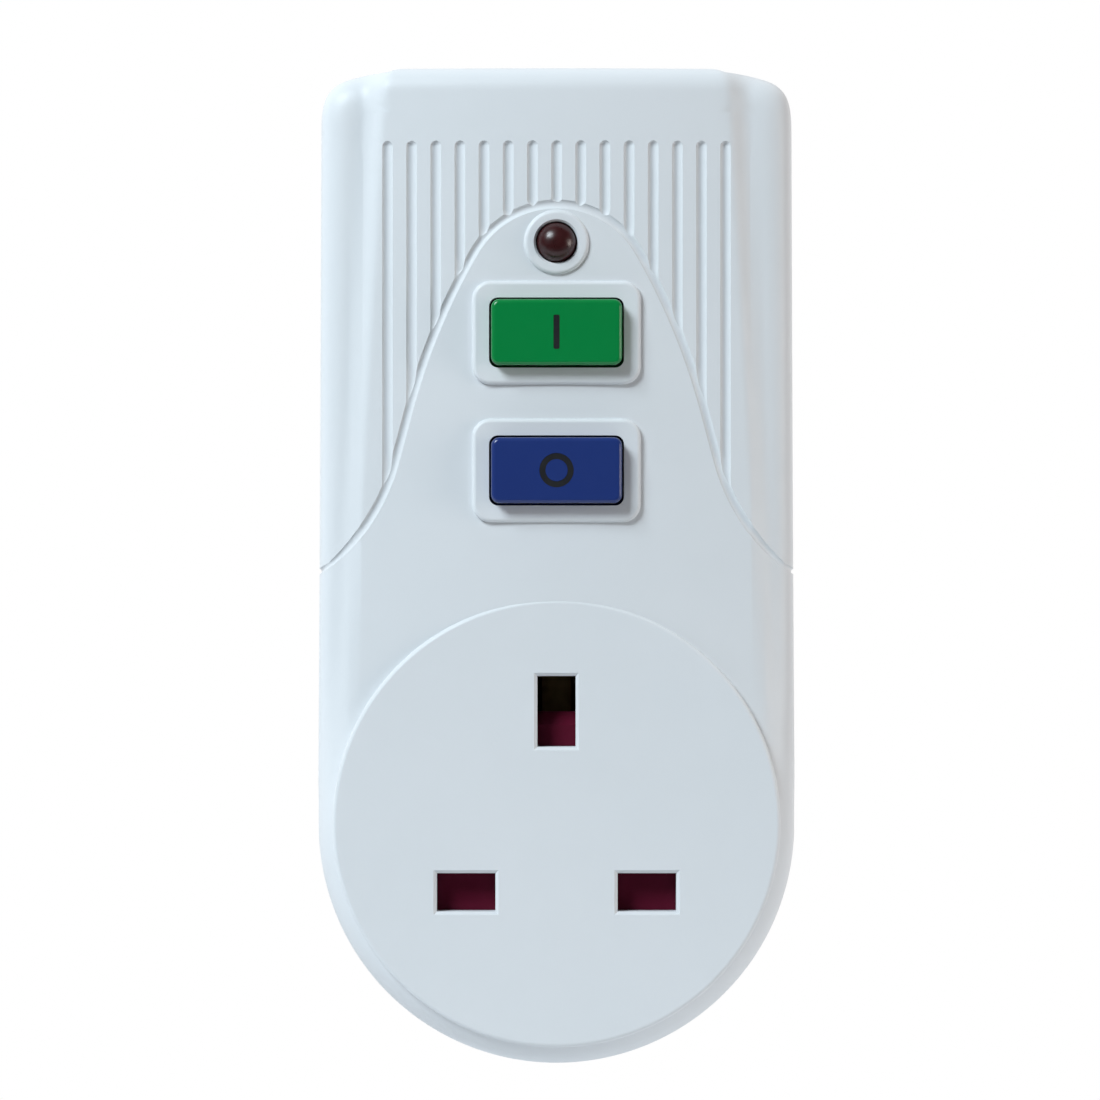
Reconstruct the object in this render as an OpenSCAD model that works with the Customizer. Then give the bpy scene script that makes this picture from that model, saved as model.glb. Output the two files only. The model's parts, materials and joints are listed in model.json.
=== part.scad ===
// RCD adapter plug: a plug-in socket adaptor with a residual current switch inside.
// Millimetres. Seen from the front X is right and Z is up, and the front faces -Y.
// The rear face that meets the wall socket is y = 0, and depth counts from it towards the front.
// z = 0 is the axis of the round socket face.

/* [Case] */
// Width of the upper case
case_w = 58.4; // [57.6:0.1:62]
// Height of the shoulders above the socket axis
shoulder_top = 92.6; // [91:0.1:98]
// Radius of the round lower end
end_r = 29.5; // [29.3:0.1:32]
// Drop of the round end's centre below the socket axis
end_drop = 0.75; // [0:0.05:1]
// Radius of the top corners, seen from the front
top_r = 6; // [5.2:0.1:7]
// Depth from the rear face to the socket face
case_depth = 43; // [42:0.5:48]
// Rolled front edge of the shoulders
edge_r = 4.5; // [3.8:0.1:5]
// Wall thickness of both shells
wall = 2.2; // [1.8:0.1:2.5]
// Depth of the parting line between the shells
parting = 17; // [16:0.5:18]
// Thickness of the rear wall
rear_wall = 2.5; // [2:0.1:3]
// Height of the lip that locates the shells
lip_h = 1.8; // [1:0.1:2.4]

/* [Front band] */
// Width of the raised band at its top
band_w = 42.6; // [42:0.1:44]
// Outward lean of each side edge of the band
band_taper = 3.2; // [2.6:0.1:3.6]
// Slope of the band's side walls away from the depth axis
band_slope = 21; // [15:1:22]
// Drop from the socket face to the shoulders' front plane
band_h = 2.6; // [2.2:0.1:5]
// Height of the band above the shoulders at the top
ridge_h = 0.3; // [0.2:0.1:0.9]
// Half width of the flat on top of the ridge
ridge_flat = 18.6; // [16:0.1:19]
// Radius of the crowned front
crown_r = 330; // [250:5:500]
// Rolled top edge of the band
band_edge_r = 2.8; // [2:0.1:3.4]

/* [Moulded grooves] */
// Number of upright grooves
groove_n = 15; // [9:2:15]
// Spacing of the upright grooves
groove_pitch = 2.97; // [2.6:0.01:3]
// Width of every groove
groove_w = 1.05; // [0.6:0.05:1.3]
// Depth of every groove
groove_deep = 0.5; // [0.3:0.05:0.7]
// Top end of the upright grooves
groove_top = 83.9; // [80:0.1:86]
// Apex of the arch groove
arch_apex = 76; // [75.8:0.1:78]
// Radius of the arch's crown
arch_r = 11.7; // [11:0.1:13]
// Length of the arch's straight legs
arch_leg = 5.8; // [4:0.1:7]

/* [Buttons and lamp] */
// Button width
button_w = 16.35; // [15:0.05:17]
// Button height
button_h = 8.4; // [7.6:0.05:9]
// Gap around a button
button_gap = 0.25; // [0.15:0.05:0.4]
// Height of the button face above its frame
button_proud = 1.7; // [1.2:0.1:2.4]
// Frame border around the button opening
frame_border = 1.9; // [1.4:0.05:2.4]
// Frame height above the socket face
frame_h = 0.9; // [0.4:0.1:1.4]
// Height of the reset button above the socket axis
reset_z = 60.2; // [60:0.1:60.6]
// Height of the test button above the socket axis
test_z = 43.3; // [43:0.1:44]
// Reset travel
reset_travel = 3; // [2:0.1:3.2]
// Test travel
test_travel = 2; // [1.4:0.1:2.4]
// Height of the lamp above the socket axis
lamp_z = 71.3; // [71:0.1:71.6]
// Lamp radius
lamp_r = 2.45; // [2.2:0.05:2.6]
// Outer radius of the lamp ring
lamp_ring_r = 4; // [3.6:0.05:4.1]

/* [Socket] */
// Radius of the round socket face
disc_r = 27.6; // [27:0.1:28]
// Distance of the live and neutral apertures from the centre line
pole_x = 11.1; // [11:0.05:11.2]
// Height of the live and neutral apertures, below the socket axis
pole_z = -8.46; // [-8.6:0.02:-8.3]
// Height of the earth aperture above the socket axis
earth_z = 13.74; // [13.6:0.02:13.9]
// Long side of a live or neutral aperture
pole_slot = 7.2; // [6.9:0.05:7.4]
// Short side of every aperture
slot_thick = 4.7; // [4.4:0.05:4.8]
// Long side of the earth aperture
earth_slot = 8.7; // [8.4:0.05:8.9]
// Chamfer around every aperture
slot_chamfer = 0.55; // [0.3:0.05:0.7]
// Shutter travel
shutter_travel = 6.2; // [5.8:0.1:6.3]

/* [Plug pins] */
// Wide side of a live or neutral pin
pole_pin_w = 6.35; // [6.2:0.01:6.4]
// Thickness of every pin
pin_thick = 4; // [3.9:0.01:4.05]
// Length of a live or neutral pin outside the case
pole_pin_len = 17.7; // [17.2:0.1:18]
// Wide side of the earth pin
earth_pin_w = 8; // [7.9:0.01:8.1]
// Length of the earth pin outside the case
earth_pin_len = 22.7; // [22.2:0.1:23.2]
// Length of the insulating sleeves outside the case
sleeve_len = 9.5; // [9:0.1:10]

/* [Hidden] */
$fa = 4;
$fs = 0.3;
past = 1;
slide_gap = 0.2;
guide_gap = 0.15;
meet_gap = 0.05;

// Case planes, as depths
shoulder_d = case_depth - band_h;
crown_drop = 0.1;
crown_d = case_depth - crown_drop;
face_wall = 2.8;
inner_d = case_depth - face_wall;
frame_d = case_depth + frame_h;
button_d = frame_d + button_proud;
corner_x = case_w / 2 - edge_r;
corner_z = shoulder_top - edge_r;
roll_d = shoulder_d - edge_r;
top_x = case_w / 2 - top_r;
top_z = shoulder_top - top_r;
ridge_run = 2.4;
band_top = shoulder_top + ridge_h;
band_foot = 8;
band_edge_d = crown_d - pow(band_w / 2, 2) / (2 * crown_r);

// Arch line: crown arc, long side arc, straight leg and flared foot on the right half
arch_turn = 60;
arch_lean = 75;
arch_side_r = 80;
arch_flare_r = 25;
arch_flare_end = 33;
arch_c1 = [0, arch_apex - arch_r];
arch_p1 = arch_c1 + arch_r * [sin(arch_turn), cos(arch_turn)];
arch_c2 = arch_p1 - arch_side_r * [sin(arch_turn), cos(arch_turn)];
arch_p2 = arch_c2 + arch_side_r * [sin(arch_lean), cos(arch_lean)];
arch_p3 = arch_p2 + arch_leg * [cos(arch_lean), -sin(arch_lean)];
arch_c3 = arch_p3 + arch_flare_r * [sin(arch_lean), cos(arch_lean)];
arch_half = concat(
  [for (i = [0 : 6]) let (a = arch_turn * i / 6) arch_c1 + arch_r * [sin(a), cos(a)]],
  [for (i = [1 : 5]) let (a = arch_turn + (arch_lean - arch_turn) * i / 5)
    arch_c2 + arch_side_r * [sin(a), cos(a)]],
  [arch_p3],
  [for (i = [1 : 6]) let (a = arch_lean + (arch_flare_end - arch_lean) * i / 6)
    arch_c3 - arch_flare_r * [sin(a), cos(a)]]);
arch_path = concat([for (i = [len(arch_half) - 1 : -1 : 1]) [-arch_half[i][0], arch_half[i][1]]], arch_half);

// Screw places and sizes
case_screw_x = [corner_x - 1.1, 22.9];
case_screw_z = [corner_z - 1.4, -8];
case_screw_r = 1.4;
case_screw_grip = 12;
case_head_r = 2.6;
case_head_h = 2.2;
case_head_gap = 0.3;
case_seat_d = 6;
small_screw_r = 1.1;
small_head_r = 2.1;
small_head_h = 1.7;
screw_gap = 0.1;
screw_end_gap = 0.5;
slot_share = 0.7;
slot_half = 0.4;

// Bosses that take the screws, and the walls that they root in
base_boss_r = 4;
cover_boss_r = 3.2;
small_boss_r = 2.6;
block_boss_r = 2.4;
boss_root = 0.6;
face_root = 0.3;

// Button openings and the room behind them
button_corner = 0.7;
frame_corner = 2.2;
flange_reach = 1.1;
flange_h_back = 1;
lamp_gap = 0.1;
lamp_flange = 0.6;
pocket_x = 19.6;
pocket_z = [34, 84];
disc_wall = 2;

// Plug pins, with a flange each that a pad in the base and the retainer hold
pad_d = rear_wall + 2;
pin_flange_h = 3.5;
flange_d = pad_d + pin_flange_h;
pole_flange = [5, 3.5];
earth_flange = [3.5, 5.5];
pad_border = 1;
pin_tip_soft = 1.2;
pin_tip_lead = 2;
retainer_h = 2;
retainer_d = flange_d + retainer_h;
neck_w = 5;
neck_thick = 2.7;
earth_neck_w = 6;
pin_gap = 0.05;
retainer_x = 17;
retainer_z = [-14, 20];
retainer_screw = [13.5, 6];

// Switch stack, counted from the front towards the board
guide_drop = 9.4;
guide_h = 2;
guide_clear = 1.6;
carriage_h = 4;
armature_h = 1.8;
guide_front = case_depth - guide_drop;
guide_d = [guide_front - guide_h, guide_front];
carriage_front = guide_d[0] - guide_clear;
carriage_d = [carriage_front - carriage_h, carriage_front];
armature_d = [carriage_d[0] - armature_h, carriage_d[0]];
core_front = armature_d[0] - meet_gap - reset_travel;
test_end_d = carriage_front;

// Conductors
bar_w = 2.4;
load_tip_h = 0.95;
load_bar_h = 1;
line_drop = 1.1;
line_bar_h = 1.2;
load_front = core_front - load_tip_h;
load_d = [load_front - load_bar_h, load_front];
line_front = load_d[0] - line_drop;
line_d = [line_front - line_bar_h, line_front];
pole_bar_x = 11;
load_bar_x = 17.6;
ring_bar_x = 2.2;
line_bend_z = [17, 26, 44];

// Sensing ring
ring_z = [28, 37];
ring_d = line_front - line_bar_h / 2;
ring_out_r = 8.6;
ring_in_r = 4.4;
ring_skin = 0.8;
cradle_x = 5;
cradle_grip = 7;
cradle_wall = 0.5;

// Socket block and contacts
barrier_gap = 0.1;
barrier_h = 1.2;
barrier_d = [load_front + barrier_gap, load_front + barrier_gap + barrier_h];
barrier_x = 17.6;
barrier_z = [-15, 20.5];
block_drop = 5.7;
block_front = case_depth - block_drop;
block_x = 18;
block_z = [-15.5, 21];
contact_rise = 1.5;
contact_d = barrier_d[1] + contact_rise;
leaf = 0.8;
leaf_gap = 0.2;
tail_half = 2;
fork_half = 3.6;
fork_pinch = 1.8;
fork_mouth = 3.6;
fork_lip = 0.3;
fork_end = 0.6;
pole_fork_w = 6.8;
earth_fork_w = 8;
pole_pocket = [4.2, 4.6];
earth_pocket = [4.6, 4.7];
shutter_back = block_front + slide_gap;
shutter_front = inner_d - 0.3;
shutter_low = -13;
shutter_top = 3;
shutter_w = 31.2;
shutter_neck = 4.5;
shutter_neck_top = earth_z - 0.14;
shutter_ramp = 1.6;
shutter_window = [4, slot_thick / 2 + 0.35];
shutter_shelf = -23.6;
shelf_half = 4;
shelf_h = 2;
shelf_reach = 1.7;
rail_w = 1.4;
rail_z = [-17, 2];
block_screw = [20.6, 14];
block_screw_grip = 6;
block_ear_drop = 9.3;
block_ear_h = 2;
block_ear_back = block_front - block_ear_drop;
block_ear_d = [block_ear_back, block_ear_back + block_ear_h];
block_ear = [23, 3];

// Circuit board and switch
board_d = [6.4, 8];
board_x = 24;
board_z = [40, 80];
board_screw_x = 21.5;
board_screw_z = [43, 77];
base_x = 14.5;
base_z = 9.5;
base_top = 12;
base_hole = [5.3, 7.3];
pillar_half = 2;
core_r = 2;
yoke_x = 4;
yoke_d = 9.2;
yoke_leg = [5.6, 6.8];
bobbin_gap = 0.05;
bobbin_wall = 0.6;
bobbin_r = 5;
core_proud = 1.15;
bobbin_l = core_front - yoke_d - core_proud;
bobbin_cheek = 0.8;
winding_r = 4.75;
armature_half = [4.2, 7.4];
carriage_x = 14.2;
carriage_z = 3.8;
post_x = 7.2;
post_r = 1.1;
post_gap = 0.4;
blade_h = 0.8;
blade_half = [1.5, 1.6];
tip_rise = 5.2;
tip_z = [reset_z - tip_rise, reset_z + tip_rise];
moving_tip_r = 1.3;
fixed_tip_r = 1.4;
guide_x = 24.4;
guide_over = [6, 7];
guide_z = [test_z - guide_over[0], reset_z + guide_over[1]];
guide_screw = [21, 52];
guide_screw_grip = 3.6;
stem_r = 2.2;
flange_back = inner_d - flange_h_back;
bridge_h = 0.6;
bridge_half = 3.6;
bridge_z = [-1.6, 2.4];
terminal_x = [1.9, 3.1];
terminal_z = [0.6, 1.8];
lead_x = 1.27;
lead_r = 0.3;
lead_hole_r = 0.5;
lead_tail = 0.8;

// Springs, as coil radius, wire radius and turns
button_coil = [3.1, 0.25, 4];
carriage_coil = [1.65, 0.2, 7];
shutter_coil = [0.95, 0.2, 7];

// Parts on the board
chip_x = [-11, -1.2];
chip_z = [73.4, 79];
chip_lead_pitch = 2.54;
chip_rise = 0.4;
chip_h = 3.4;
thyristor_at = [16.2, 75];
thyristor_r = 2.3;
thyristor_rise = 1.6;
thyristor_h = 4.8;
thyristor_flat = 1.4;
varistor_w = 3.6;
varistor_gap = 0.2;
varistor_side = load_bar_x + bar_w / 2 + varistor_gap;
varistor_x = [varistor_side, varistor_side + varistor_w];
varistor_z = 55;
varistor_rise = 1;
varistor_r = 4.4;
capacitor_at = [9, 75.6];
capacitor_r = 3.6;
capacitor_h = 10.5;
resistor_x = [-17.4, -21.4];
resistor_z = 60;
resistor_r = 1.5;
resistor_l = 9;
diode_x = [-16, -12, -8, 8];
diode_drop = 15.2;
diode_z = reset_z - diode_drop;
diode_r = 1.2;
diode_l = 4.4;
axial_rise = 0.4;
axial_bend = 1.2;

// Height of the arch line at a distance x from the centre line
function arch_z(x) =
  x < arch_p1[0] ? arch_c1[1] + sqrt(pow(arch_r, 2) - pow(x, 2)) :
  x < arch_p2[0] ? arch_c2[1] + sqrt(pow(arch_side_r, 2) - pow(x - arch_c2[0], 2)) :
  x < arch_p3[0] ? arch_p2[1] - (x - arch_p2[0]) * tan(arch_lean) :
  arch_c3[1] - sqrt(pow(arch_flare_r, 2) - pow(arch_c3[0] - x, 2));

// Depth of the crowned front at a distance x from the centre line
function crown_at(x) = crown_d - crown_r + sqrt(pow(crown_r, 2) - pow(x, 2));

// Direction of a path's run that ends at point i
function heading(path, i) = (path[i] - path[i - 1]) / norm(path[i] - path[i - 1]);

// Step from a path's point i to the mitred edge at a half width
function mitre(path, i, half) =
  let (
    a = heading(path, max(i, 1)),
    b = heading(path, min(i + 1, len(path) - 1)),
    left_a = [-a[1], a[0]],
    left_b = [-b[1], b[0]]
  )
    (left_a + left_b) * half / (1 + left_a * left_b);

// Box between limits in x, depth and z
module dbox(x, d, z) {
  translate([x[0], -d[1], z[0]])
    cube([x[1] - x[0], d[1] - d[0], z[1] - z[0]]);
}

// Round bar along the depth
module drod(r, d, at) {
  translate([at[0], -d[1], at[1]])
    rotate([-90, 0, 0])
      cylinder(r = r, h = d[1] - d[0]);
}

// Flat shape in x and z, carried along the depth
module dprism(d) {
  translate([0, -d[0], 0])
    rotate([90, 0, 0])
      linear_extrude(height = d[1] - d[0])
        children();
}

// Rectangle with round corners about its own centre
module round_rect(w, h, r) {
  square([w - 2 * r, h], center = true);
  square([w, h - 2 * r], center = true);
  for (x = [-1, 1], z = [-1, 1])
    translate([x * (w / 2 - r), z * (h / 2 - r)])
      circle(r = r);
}

// Both mirror halves of a piece on the right
module both_sides() {
  children();
  mirror([1, 0, 0])
    children();
}

// Flat bar that follows a path of points with mitred bends, its ends carried past the path by a cap
module strip(path, w, cap = 0) {
  last = len(path) - 1;
  start = path[0] - cap * heading(path, 1);
  finish = path[last] + cap * heading(path, last);
  line = concat([start], [for (i = [1 : last - 1]) path[i]], [finish]);
  polygon(concat(
    [for (i = [0 : last]) line[i] + mitre(line, i, w / 2)],
    [for (i = [last : -1 : 0]) line[i] - mitre(line, i, w / 2)]));
}

// Helical spring along z from 0 to a length, with a six-sided wire
module coil_spring(coil_r, wire_r, length, turns) {
  sides = 6;
  steps = 8 * turns;
  rise = length - 2 * wire_r;
  points = [
    for (i = [0 : steps], k = [0 : sides - 1])
      let (a = 360 * i / 8, b = 360 * k / sides, r = coil_r + wire_r * cos(b))
        [r * cos(a), r * sin(a), wire_r + rise * i / steps + wire_r * sin(b)]
  ];
  walls = [
    for (i = [0 : steps - 1], k = [0 : sides - 1])
      let (n = (k + 1) % sides, p = i * sides, q = p + sides)
        each [[p + k, p + n, q + k], [p + n, q + n, q + k]]
  ];
  start = [for (k = [1 : sides - 2]) [0, k + 1, k]];
  finish = [for (k = [1 : sides - 2]) [steps * sides, steps * sides + k, steps * sides + k + 1]];
  polyhedron(points = points, faces = concat(walls, start, finish));
}

// Spring along the depth between two depths
module depth_spring(coil, d, at) {
  translate([at[0], -d[0], at[1]])
    rotate([90, 0, 0])
      coil_spring(coil[0], coil[1], d[1] - d[0], coil[2]);
}

// Cross slot in a screw's head
module cross_slot(at, head_r, d) {
  reach = head_r * slot_share;
  dbox([at[0] - reach, at[0] + reach], d, [at[1] - slot_half, at[1] + slot_half]);
  dbox([at[0] - slot_half, at[0] + slot_half], d, [at[1] - reach, at[1] + reach]);
}

// Pan-headed screw along the depth, its head at the rear
module rear_screw(at, head_d, end_d, r, head_r, head_h) {
  difference() {
    drod(head_r, [head_d - head_h, head_d], at);
    cross_slot(at, head_r, [head_d - head_h - past, head_d - head_h / 2]);
  }
  drod(r, [head_d - head_h / 4, end_d], at);
}

// Pan-headed screw along the depth, its head towards the front
module front_screw(at, head_d, end_d, r, head_r, head_h) {
  difference() {
    drod(head_r, [head_d, head_d + head_h], at);
    cross_slot(at, head_r, [head_d + head_h / 2, head_d + head_h + past]);
  }
  drod(r, [end_d, head_d + head_h / 4], at);
}

// Upright outline of the case, drawn in by an inset
module outline(inset) {
  translate([0, -end_drop])
    circle(r = end_r - inset);
  translate([-case_w / 2 + inset, -end_drop])
    square([case_w - 2 * inset, top_z + end_drop]);
  translate([-top_x, -end_drop])
    square([2 * top_x, shoulder_top - inset + end_drop]);
  for (s = [-1, 1])
    translate([s * top_x, top_z])
      circle(r = top_r - inset);
}

// Ridge over the top of the case
module ridge(d) {
  foot_x = ridge_flat + ridge_run;
  dprism(d)
    polygon([[-foot_x, shoulder_top - wall / 2], [foot_x, shoulder_top - wall / 2], [foot_x, shoulder_top],
      [ridge_flat, band_top], [-ridge_flat, band_top], [-foot_x, shoulder_top]]);
}

// Round end of the shoulder body with a rolled front edge, drawn in by an inset
module rolled_end(radius, inset, back) {
  rotate([90, 0, 0])
    rotate_extrude() {
      translate([0, back])
        square([radius - edge_r, shoulder_d - inset - back]);
      translate([0, back])
        square([radius - inset, roll_d - back]);
      intersection() {
        translate([radius - edge_r, roll_d])
          circle(r = edge_r - inset);
        translate([0, back])
          square([radius, case_depth]);
      }
    }
}

// Shoulder body with rolled front edges, drawn in by an inset
module shoulder_form(inset, back) {
  r = edge_r - inset;
  translate([0, 0, -end_drop])
    rolled_end(end_r, inset, back);
  dbox([-corner_x, corner_x], [back, shoulder_d - inset], [-end_drop, top_z]);
  dbox([-top_x, top_x], [back, shoulder_d - inset], [-end_drop, corner_z]);
  dbox([-case_w / 2 + inset, case_w / 2 - inset], [back, roll_d], [-end_drop, top_z]);
  dbox([-top_x, top_x], [back, roll_d], [-end_drop, shoulder_top - inset]);
  for (s = [-1, 1]) {
    translate([s * corner_x, -roll_d, -end_drop])
      cylinder(r = r, h = top_z + end_drop);
    translate([s * top_x, 0, top_z])
      rolled_end(top_r, inset, back);
  }
  translate([-top_x, -roll_d, corner_z])
    rotate([0, 90, 0])
      cylinder(r = r, h = 2 * top_x);
}

// Sloping planes that trim both sides of the band
module band_sides(inset) {
  reach = 2 * shoulder_top;
  both_sides()
    translate([band_w / 2 - inset, -band_edge_d, band_top])
      rotate([0, -band_taper, 0])
        rotate([0, 0, -band_slope])
          translate([0, -reach, -reach])
            cube([reach, 2 * reach, 2 * reach]);
}

// Raised crowned band with a rolled top edge, drawn in by an inset
module band_form(inset) {
  back = shoulder_d - edge_r / 2;
  reach = case_w;
  roll = [crown_d - band_edge_r, band_top - band_edge_r];
  difference() {
    intersection() {
      translate([0, crown_r - crown_d, 0])
        cylinder(r = crown_r - inset, h = band_top + past, $fn = 720);
      union() {
        dbox([-reach, reach], [back, case_depth], [band_foot, roll[1]]);
        dbox([-reach, reach], [back, roll[0]], [band_foot, band_top - inset]);
        translate([-reach, -roll[0], roll[1]])
          rotate([0, 90, 0])
            cylinder(r = band_edge_r - inset, h = 2 * reach);
      }
      dprism([back - past, case_depth])
        polygon([[-reach, 0], [reach, 0], [reach, band_top - (reach - ridge_flat) / 2],
          [ridge_flat, band_top], [-ridge_flat, band_top], [-reach, band_top - (reach - ridge_flat) / 2]]);
    }
    band_sides(inset);
  }
}

// Round socket face with a softened rim
module disc_form() {
  soft = 0.4;
  back = roll_d;
  rotate([90, 0, 0])
    rotate_extrude()
      polygon([[0, back], [disc_r, back], [disc_r, case_depth - soft], [disc_r - soft, case_depth],
        [0, case_depth]]);
}

// Arch groove, which follows every surface that it crosses at one depth
module arch_groove() {
  difference() {
    dprism([parting + lip_h + past, case_depth + past])
      strip(arch_path, groove_w);
    shoulder_form(groove_deep, parting);
    band_form(groove_deep);
  }
}

// Upright groove at a distance x from the centre line, from the arch to its round top end
module upright_groove(x) {
  low = arch_z(abs(x));
  high = groove_top - groove_w / 2;
  dprism([crown_at(x) - groove_deep, case_depth + past])
    translate([x, low]) {
      translate([-groove_w / 2, 0])
        square([groove_w, high - low]);
      translate([0, high - low])
        circle(r = groove_w / 2);
    }
}

// Rectangular aperture with a chamfered mouth
module aperture(at, w, h) {
  mouth = case_depth - slot_chamfer;
  far = case_depth + past;
  grow = slot_chamfer + past;
  dbox([at[0] - w / 2, at[0] + w / 2], [inner_d - past, far], [at[1] - h / 2, at[1] + h / 2]);
  intersection() {
    translate([0, 0, at[1] - h])
      linear_extrude(height = 2 * h)
        polygon([[at[0] - w / 2, -mouth], [at[0] + w / 2, -mouth], [at[0] + w / 2 + grow, -far],
          [at[0] - w / 2 - grow, -far]]);
    translate([at[0] - w, 0, 0])
      rotate([90, 0, 90])
        linear_extrude(height = 2 * w)
          polygon([[-mouth, at[1] - h / 2], [-mouth, at[1] + h / 2], [-far, at[1] + h / 2 + grow],
            [-far, at[1] - h / 2 - grow]]);
  }
}

// Places of the case screws
module at_case_screws() {
  for (i = [0, 1], s = [-1, 1])
    translate([s * case_screw_x[i], 0, case_screw_z[i]])
      children();
}

// Outer skin of the front cover
module front_skin() {
  border = button_gap + frame_border;
  middle = (groove_n - 1) / 2;
  difference() {
    difference() {
      union() {
        shoulder_form(0, parting);
        band_form(0);
        ridge([parting, crown_d - band_edge_r]);
        disc_form();
      }
      arch_groove();
    }
    for (i = [-middle : middle])
      upright_groove(i * groove_pitch);
  }
  for (z = [reset_z, test_z])
    dprism([inner_d, frame_d])
      translate([0, z])
        round_rect(button_w + 2 * border, button_h + 2 * border, frame_corner);
  drod(lamp_ring_r, [inner_d, frame_d - 0.1], [0, lamp_z]);
}

// Room inside the front cover
module cover_room() {
  shoulder_form(wall, parting - past);
  dbox([-pocket_x, pocket_x], [shoulder_d - wall - past, inner_d], pocket_z);
  drod(disc_r - disc_wall, [shoulder_d - wall - past, inner_d], [0, 0]);
}

// Bosses, rails and posts inside the front cover
module cover_fittings() {
  root_d = shoulder_d - wall + boss_root;
  face_d = inner_d + face_root;
  rail_x = shutter_w / 2 + slide_gap;
  both_sides() {
    drod(cover_boss_r, [parting, root_d], [case_screw_x[0], case_screw_z[0]]);
    drod(cover_boss_r, [parting, face_d], [case_screw_x[1], case_screw_z[1]]);
    drod(small_boss_r, [guide_d[1], root_d], guide_screw);
    drod(block_boss_r, [block_ear_d[1], face_d], block_screw);
    dbox([rail_x, rail_x + rail_w], [block_front, face_d], rail_z);
  }
  dbox([-shelf_half, shelf_half], [shutter_back - shelf_reach, face_d],
    [shutter_shelf - shelf_h, shutter_shelf]);
}

module front_cover() {
  color("white")
    difference() {
      union() {
        difference() {
          front_skin();
          cover_room();
        }
        cover_fittings();
      }
      for (z = [reset_z, test_z])
        dprism([inner_d - past, frame_d + past])
          translate([0, z])
            round_rect(button_w + 2 * button_gap, button_h + 2 * button_gap, button_corner + button_gap);
      drod(lamp_r + lamp_gap, [inner_d - past, frame_d + past], [0, lamp_z]);
      for (s = [-1, 1])
        aperture([s * pole_x, pole_z], pole_slot, slot_thick);
      aperture([0, earth_z], slot_thick, earth_slot);
      at_case_screws()
        drod(case_screw_r + screw_gap, [parting - past, parting + case_screw_grip + 4 * screw_end_gap],
          [0, 0]);
      both_sides() {
        drod(small_screw_r + screw_gap, [guide_d[1] - past, guide_d[1] + guide_screw_grip + screw_end_gap],
          guide_screw);
        drod(small_screw_r + screw_gap,
          [block_ear_d[1] - past, block_ear_d[1] + block_screw_grip + screw_end_gap], block_screw);
      }
      difference() {
        dprism([parting - past, parting + lip_h + guide_gap])
          outline(wall / 2 - guide_gap / 2);
        dprism([parting - 2 * past, parting + lip_h + past])
          outline(wall + guide_gap);
      }
    }
}

// Pad in the base that a pin's flange sits on
module pin_pad(at, flange) {
  half = flange + [pad_border, pad_border];
  dbox([at[0] - half[0], at[0] + half[0]], [rear_wall / 2, pad_d], [at[1] - half[1], at[1] + half[1]]);
}

// Pads, bosses and cradle inside the rear base
module base_fittings() {
  at_case_screws()
    drod(base_boss_r, [rear_wall / 2, parting], [0, 0]);
  both_sides() {
    pin_pad([pole_x, pole_z], pole_flange);
    drod(small_boss_r, [rear_wall / 2, flange_d], retainer_screw);
    for (z = board_screw_z)
      drod(small_boss_r, [rear_wall / 2, board_d[0]], [board_screw_x, z]);
  }
  pin_pad([0, earth_z], earth_flange);
  difference() {
    dbox([-cradle_x, cradle_x], [rear_wall / 2, ring_d - cradle_grip],
      [ring_z[0] - cradle_wall, ring_z[1] + cradle_wall]);
    translate([0, -ring_d, ring_z[0]])
      cylinder(r = ring_out_r, h = ring_z[1] - ring_z[0]);
  }
}

module rear_base() {
  color("white")
    difference() {
      union() {
        difference() {
          union() {
            dprism([0, parting])
              outline(0);
            ridge([0, parting]);
          }
          dprism([rear_wall, parting + past])
            outline(wall);
        }
        difference() {
          dprism([parting - past, parting + lip_h])
            outline(wall / 2 + guide_gap / 2);
          dprism([parting - 2 * past, parting + lip_h + past])
            outline(wall);
        }
        base_fittings();
      }
      at_case_screws() {
        drod(case_head_r + case_head_gap, [-past, case_seat_d], [0, 0]);
        drod(case_screw_r + 2 * screw_gap, [case_seat_d - past, parting + past], [0, 0]);
      }
      both_sides() {
        dbox([pole_x - pole_pin_w / 2 - pin_gap, pole_x + pole_pin_w / 2 + pin_gap], [-past, pad_d + past],
          [pole_z - pin_thick / 2 - pin_gap, pole_z + pin_thick / 2 + pin_gap]);
        drod(small_screw_r + screw_gap, [rear_wall, flange_d + past], retainer_screw);
        for (z = board_screw_z)
          drod(small_screw_r + screw_gap, [rear_wall / 2, board_d[0] + past], [board_screw_x, z]);
      }
      dbox([-pin_thick / 2 - pin_gap, pin_thick / 2 + pin_gap], [-past, pad_d + past],
        [earth_z - earth_pin_w / 2 - pin_gap, earth_z + earth_pin_w / 2 + pin_gap]);
    }
}

module case_screws() {
  color("silver")
    for (i = [0, 1], s = [-1, 1])
      rear_screw([s * case_screw_x[i], case_screw_z[i]], case_seat_d, parting + case_screw_grip, case_screw_r,
        case_head_r, case_head_h);
}

// Flat bar along the depth with a chamfered tip at its rear end
module pin_bar(at, w, h, tip_d, end_d) {
  soft = pin_tip_soft;
  lead = pin_tip_lead;
  intersection() {
    translate([0, 0, at[1] - h])
      linear_extrude(height = 2 * h)
        polygon([[at[0] - w / 2, -end_d], [at[0] + w / 2, -end_d], [at[0] + w / 2, -tip_d - lead],
          [at[0] + w / 2 - soft, -tip_d], [at[0] - w / 2 + soft, -tip_d], [at[0] - w / 2, -tip_d - lead]]);
    translate([at[0] - w, 0, 0])
      rotate([90, 0, 90])
        linear_extrude(height = 2 * w)
          polygon([[-end_d, at[1] - h / 2], [-end_d, at[1] + h / 2], [-tip_d - lead, at[1] + h / 2],
            [-tip_d, at[1] + h / 2 - soft], [-tip_d, at[1] - h / 2 + soft], [-tip_d - lead, at[1] - h / 2]]);
  }
}

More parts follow.
